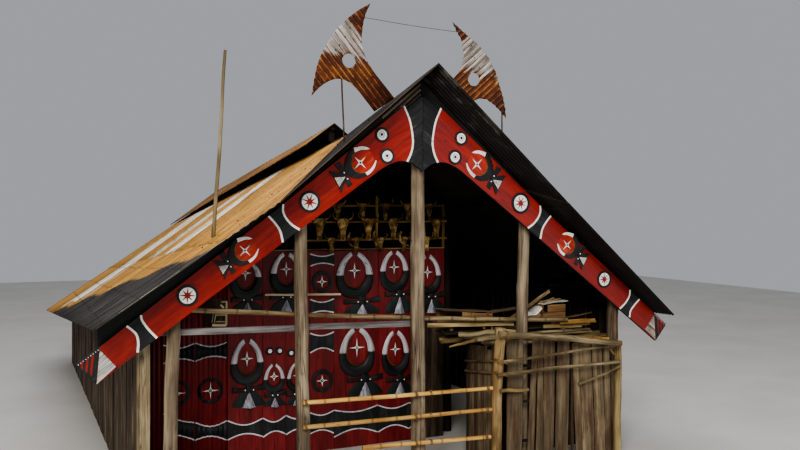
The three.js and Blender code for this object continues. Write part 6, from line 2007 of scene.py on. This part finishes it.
def crate(x0, x1, y0, y1, z0, z1, mat, seed, rows=2, notch=0.0):
    h = (z1 - z0) / rows
    for j in range(rows):
        zc = z0 + (j + 0.5) * h
        xa = x0 + (notch if j == rows - 1 else 0.0)
        board(p, (xa, y0, zc), (x1, y0, zc), (0, 0, 1), (0, -1, 0), h - 0.005, 0.014, mat, 6, 0.002, seed + j, r=0.75)
        board(p, (x0, y1, zc), (x1, y1, zc), (0, 0, 1), (0, -1, 0), h - 0.005, 0.014, mat, 6, 0.002, seed + 5 + j, r=0.4)
        for x in (x0 + 0.008, x1 - 0.008):
            board(p, (x, y0 + 0.010, zc), (x, y1 - 0.010, zc), (0, 0, 1), (1, 0, 0), h - 0.005, 0.014, mat, 5, 0.002, seed + 10 + j, r=0.4)


# the larger crate with a pale board and split wood on its lid
crate(2.470, 2.905, 0.590, 0.880, 2.225, 2.470, "crate", 250, 2, 0.09)
board(p, (2.50, 0.60, 2.190), (2.88, 0.60, 2.190), (0, 0, 1), (0, -1, 0), 0.05, 0.03, "dimplank", 4, 0.002, 262)
board(p, (2.455, 0.64, 2.482), (2.955, 0.66, 2.520), (0, 1, 0), (0, 0, 1), 0.16, 0.010, "palesheet", 8, 0.002, 270, warp=0.012, r=0.95)
board(p, (2.500, 0.80, 2.488), (2.86, 0.79, 2.505), (0, 1, 0), (0, 0, 1), 0.12, 0.012, "yellowplank", 6, 0.002, 271)
log(p, (2.52, 0.66, 2.515), (2.76, 0.70, 2.565), 0.020, 0.014, "log", 8, 8, 0.08, 0.5, 272, r=0.9)
log(p, (2.66, 0.74, 2.525), (2.90, 0.72, 2.545), 0.016, 0.012, "log", 8, 8, 0.08, 0.5, 273, r=0.7)
log(p, (2.48, 0.70, 2.512), (2.70, 0.66, 2.520), 0.017, 0.015, "log", 8, 8, 0.08, 0.5, 274, r=0.8)
# the small box beside it under a folded pale sheet
crate(2.195, 2.455, 0.640, 0.880, 2.205, 2.345, "crate", 280, 1)
if True:
    V, F, G = [], [], []
    for i in range(11):
        for j in range(7):
            f, g_ = i / 10, j / 6
            x = 2.175 + 0.300 * f
            y = 0.605 + 0.28 * g_
            z = 2.362 + 0.105 * max(0.0, f - 0.55) ** 1.2 * 2.0 - (0.060 * (1 - g_ * 5) if g_ < 0.2 else 0.0) * (1 - 0.5 * f) + 0.008 * math.sin(7 * f + 3 * g_)
            V.append((x, y, z))
            G.append((x, y, z))
    for i in range(10):
        for j in range(6):
            a_ = i * 7 + j
            F.append((a_, a_ + 7, a_ + 8, a_ + 1))
    n_ = len(V)
    V += [(x, y, z - 0.003) for x, y, z in V]
    G += G
    F += [tuple(q + n_ for q in reversed(f_)) for f_ in list(F)]
    rim = [i * 7 for i in range(11)] + [70 + j for j in range(1, 7)] + [i * 7 + 6 for i in range(9, -1, -1)] + [j for j in range(5, 0, -1)]
    for a_, b_ in zip(rim, rim[1:] + rim[:1]):
        F.append((b_, a_, a_ + n_, b_ + n_))
    p.add(V, F, "palesheet", G, 0.9, 0.0, True)
# the trough at the left, open at its left end
for y, rr in ((0.610, 0.85), (0.900, 0.4)):
    board(p, (0.70 if y > 0.8 else 0.99, y, 2.33), (1.53, y, 2.30), (0, 0, 1), (0, -1, 0), 0.185, 0.018, "crate", 8, 0.003, 300 + int(y * 10), r=rr, w1=0.150)
board(p, (0.69, 0.755, 2.235), (1.53, 0.755, 2.215), (0, 1, 0), (0, 0, 1), 0.28, 0.016, "dimplank", 8, 0.003, 306, r=0.5)
board(p, (1.522, 0.62, 2.295), (1.522, 0.89, 2.295), (0, 0, 1), (1, 0, 0), 0.15, 0.016, "crate", 4, 0.002, 307, r=0.4)
board(p, (0.66, 0.74, 2.468), (1.56, 0.76, 2.392), (0, 1, 0), (0, 0, 1), 0.30, 0.014, "penplank", 10, 0.003, 308, warp=0.012, r=0.8)
for i, (x, h) in enumerate(((1.17, 0.0), (1.44, 0.0))):
    board(p, (x, 0.592, 2.235), (x, 0.592, 2.41), (1, 0, 0), (0, -1, 0), 0.040, 0.016, "crate", 4, 0.002, 310 + i, r=0.95)
for x in (0.80, 1.38):
    log(p, (x, 0.60, 2.17), (x + 0.01, 0.92, 2.17), 0.030, 0.030, "smoked", 8, 6, 0.05, 0.3, int(x * 30))
# thin board that leans out behind the trough, and the long leaning pole
board(p, (1.54, 0.72, 2.385), (2.06, 0.76, 2.425), (0, 0, 1), (0, -1, 0), 0.050, 0.014, "dimplank", 6, 0.002, 316, r=0.9)
board(p, (1.70, 0.690, 2.150), (2.678, 0.715, 2.680), (0.45, 0.2, -0.8), (0, -1, 0), 0.056, 0.024, "log", 14, 0.004, 281, r=0.95, warp=0.008, edge=0.005)
# two logs and a branch that lie over the corner of the pen
log(p, (0.800, 0.38, 2.120), (1.285, 0.06, 2.165), 0.040, 0.044, "rail_log", 14, 22, 0.08, 0.6, 301, r=0.8)
log(p, (0.965, 0.10, 2.072), (1.215, -0.030, 2.118), 0.036, 0.041, "rail_log", 14, 14, 0.08, 0.5, 302, r=0.95)
log(p, (0.655, 0.40, 1.935), (0.990, 0.125, 2.070), 0.014, 0.028, "log", 10, 18, 0.12, 1.3, 303, r=0.8, knots=4)
log(p, (1.13, 0.24, 2.00), (1.215, 0.02, 2.025), 0.030, 0.034, "rail_log", 12, 10, 0.08, 0.3, 304, r=0.3)
# small offcuts on top of the long log
for i, (x0, x1, z0, z1, h) in enumerate(((1.300, 1.560, 2.205, 2.172, 0.050), (2.770, 2.960, 2.010, 1.990, 0.032), (2.998, 3.150, 1.995, 1.975, 0.045), (3.165, 3.320, 1.972, 1.955, 0.042))):
    board(p, (x0, -0.010, z0), (x1, -0.004, z1), (0, 0, 1), (0, -1, 0), h, 0.040, "splitplank" if i else "log", 5, 0.004, 320 + i, r=0.95 - 0.1 * (i % 2), edge=0.005, s0=0.2, s1=0.1)
log(p, (1.45, 0.085, 2.055), (3.30, 0.080, 1.925), 0.022, 0.018, "log", 8, 30, 0.08, 0.8, 330, r=0.9)
p.make("stored_timber_pile", "stored_timber")

# ---------------------------------------------------------------- lashings where rails cross the posts
p = Piece()
for x, y, z in ((-1.70, 0.1638, 1.3598), (-1.70, 0.1638, 1.02)):
    lash(p, (x, y, z), (1, 0, 0), 0.036, 0.036, 4, 0.010, seed=int(z * 30))
for x, y, z in ((0.055, 0.076, 1.3477), (0.055, 0.076, 1.02), (0.060, 0.0685, 0.6323)):
    for sd in (-1, 1):
        lash(p, (x + 0.118 * sd, y, z), (1, 0, 0), 0.036, 0.036, 4, 0.010, seed=int(z * 30) + sd)
for x, y, z in ((1.10, 0.024, 1.3405), (1.09, 0.024, 1.02), (1.08, 0.0233, 0.6135)):
    lash(p, (x, y, z), (1, 0, 0), 0.035, 0.035, 5, 0.009, seed=int(z * 30) + 7)
# round the pen's corner post and the poles that meet there
for z, h in ((1.745, 4), (1.555, 3)):
    lash(p, (1.293, -0.035, z), (0.25, 0, 1), 0.100, 0.135, h, 0.012, 0.0045, seed=int(z * 20), up=(0, 1, 0))
lash(p, (1.330, -0.132, 2.150), (1, 0, -0.12), 0.060, 0.060, 4, 0.011, seed=77)
lash(p, (3.360, -0.155, 1.904), (1, 0, -0.12), 0.052, 0.052, 3, 0.011, seed=78)
p.make("rail_lashings", ())

# ---------------------------------------------------------------- roof horns, rods, wire and pole
HORN_L = [(-0.715, 6.93), (-0.892, 6.822), (-1.05, 6.696), (-1.177, 6.573), (-1.279, 6.45), (-1.35, 6.34), (-1.414, 6.225), (-1.475, 6.10),
          (-1.52, 5.965), (-1.556, 5.79), (-1.591, 5.571), (-1.535, 5.636), (-1.485, 5.688), (-1.42, 5.742), (-1.35, 5.784), (-1.28, 5.815), (-1.206, 5.832), (-1.112, 5.825),
          (-1.017, 5.786), (-0.89, 5.667), (-0.655, 5.40), (-0.34, 5.605), (-0.533, 5.818), (-0.62, 5.912),
          (-0.696, 6.005), (-0.745, 6.075), (-0.783, 6.149), (-0.82, 6.24), (-0.843, 6.331), (-0.849, 6.41), (-0.846, 6.488), (-0.828, 6.637), (-0.784, 6.791)]
HORN_R = [(0.597, 6.794), (0.77, 6.671), (0.938, 6.559), (1.03, 6.50), (1.108, 6.437), (1.23, 6.299), (1.342, 6.117), (1.385, 6.01), (1.418, 5.898), (1.483, 5.721),
          (1.521, 5.552), (1.534, 5.408), (1.434, 5.516), (1.308, 5.615), (1.185, 5.682), (1.063, 5.686), (0.954, 5.640), (0.62, 5.375),
          (0.33, 5.635), (0.52, 5.85), (0.617, 5.956), (0.706, 6.051), (0.76, 6.18), (0.795, 6.308), (0.776, 6.441), (0.746, 6.553), (0.673, 6.652)]
horn3 = lambda P: np.stack([P[:, 0], 0.232 - P[:, 2], P[:, 1]], 1)


def horn_tone(cx, cz, nn, s0, lo):
    """Bare grey metal across the blade's middle, rust past a rib line at the tip, and darker rust towards the ends."""
    def f(V):
        up = V[:, 1] + 0.10 * (V[:, 0] - cx)
        s_ = V[:, 0] * nn[0] + V[:, 1] * nn[1]
        pale = np.clip((up - (cz - lo)) / 0.26, 0, 1) * np.clip((s0 - s_) / 0.05, 0, 1)
        rad = np.hypot(V[:, 0] - cx, V[:, 1] - cz)
        return 0.02 + 0.96 * pale - 0.30 * (1.0 - pale) * np.clip((rad - 0.28) / 0.34, 0, 1)
    return f


p = Piece()
ribbed(p, [HORN_L, circle(-1.043, 6.094, 0.10, n=40)], (math.cos(math.radians(-49)), math.sin(math.radians(-49))), horn3, "horn", "horn", th=0.0018, seed=1, t=horn_tone(-1.043, 6.094, (0.755, 0.656), 3.611, 0.08), cross=0.06)
for x, z in ((-1.031, 6.554), (-1.103, 6.424), (-1.189, 6.300), (-1.249, 6.227)):
    tube(p, [(x, 0.226, z), (x, 0.2335, z)], 0.008, "joint", 9)
p.make("horn_left_sheet", "horn_left")
p = Piece()
ribbed(p, [HORN_R, circle(0.966, 5.966, 0.098, 0.10, n=40)], (math.cos(math.radians(41)), math.sin(math.radians(41))), horn3, "horn", "horn", th=0.0018, seed=2, t=horn_tone(0.966, 5.966, (-0.656, 0.755), 4.434, 0.01), cross=0.06)
for x, z in ((0.916, 6.466), (1.056, 6.146), (0.966, 6.296)):
    tube(p, [(x, 0.226, z), (x, 0.2335, z)], 0.008, "joint", 9)
p.make("horn_right_sheet", "horn_right")
for nm, a, b in (("horn_rod_left", (-1.104, 0.264, 4.96), (-1.146, 0.264, 5.95)), ("horn_rod_right", (1.486, 0.264, 4.66), (1.476, 0.264, 5.62))):
    p = Piece()
    A, B = np.array(a), np.array(b)
    tube(p, [A + (B - A) * f + np.array([0.002 * math.sin(f * 7), 0, 0]) for f in np.linspace(0, 1, 14)], 0.0115, "steel", 12, 1)
    for f in (0.90, 0.96):
        tube(p, [A + (B - A) * f + np.array([-0.020, -0.010, 0]), A + (B - A) * f + np.array([-0.012, -0.030, 0]), A + (B - A) * f + np.array([0.012, -0.030, 0.0]), A + (B - A) * f + np.array([0.020, -0.010, 0]), A + (B - A) * f + np.array([0.012, 0.010, 0]), A + (B - A) * f + np.array([-0.012, 0.010, 0])], 0.002, "steel", 5, 2, closed=True)
    p.make(nm + "_bar", nm)
p = Piece()
A, B = np.array((-0.826, 0.26, 6.728)), np.array((0.70, 0.26, 6.655))
tube(p, [A + (B - A) * f - np.array([0, 0, 0.012 * math.sin(math.pi * f)]) for f in np.linspace(0, 1, 30)], 0.0036, "steel", 6, 3)
p.make("horn_wire_line", "horn_wire")
p = Piece()
zb = leftZ(2.815, 0.85) + 0.006
log(p, (-2.815, 0.85, zb), (-2.645, 0.85, 6.215), 0.029, 0.021, "rail_log", 14, 40, 0.03, 0.5, 41, r=0.6, dome=0.0, knots=4)
p.make("roof_pole_timber", "roof_pole")


# ---------------------------------------------------------------- studio
floor = Piece()
floor.add([(-30, -30, -0.003), (30, -30, -0.003), (30, 40, -0.003), (-30, 40, -0.003)], [(0, 1, 2, 3)], "floor")
floor.make("floor")


def light(name, loc, target, size_, power, color):
    d = bpy.data.lights.new(name, "AREA")
    d.shape = "SQUARE"
    d.size = size_
    d.energy = power
    d.color = color
    o = bpy.data.objects.new(name, d)
    o.location = loc
    o.rotation_euler = (Vector(target) - Vector(loc)).to_track_quat("-Z", "Y").to_euler()
    scene.collection.objects.link(o)


light("key", (-9.0, -21.0, 13.0), (0.0, -5.0, 2.0), 7.0, 3300.0, (1.0, 0.965, 0.91))
light("fill", (11.0, -17.0, 6.0), (0.0, -5.0, 2.5), 9.0, 450.0, (0.94, 0.97, 1.0))
light("sky", (-3.0, -2.0, 19.0), (0.0, -1.0, 3.0), 14.0, 1250.0, (0.97, 0.98, 1.0))
w = bpy.data.worlds.new("studio")
w.use_nodes = True
w.node_tree.nodes["Background"].inputs[0].default_value = (0.80, 0.83, 0.88, 1.0)
w.node_tree.nodes["Background"].inputs[1].default_value = 0.42
scene.world = w
scene.view_settings.view_transform = "AgX"
scene.view_settings.look = "AgX - Medium High Contrast"
scene.view_settings.exposure = 0.0
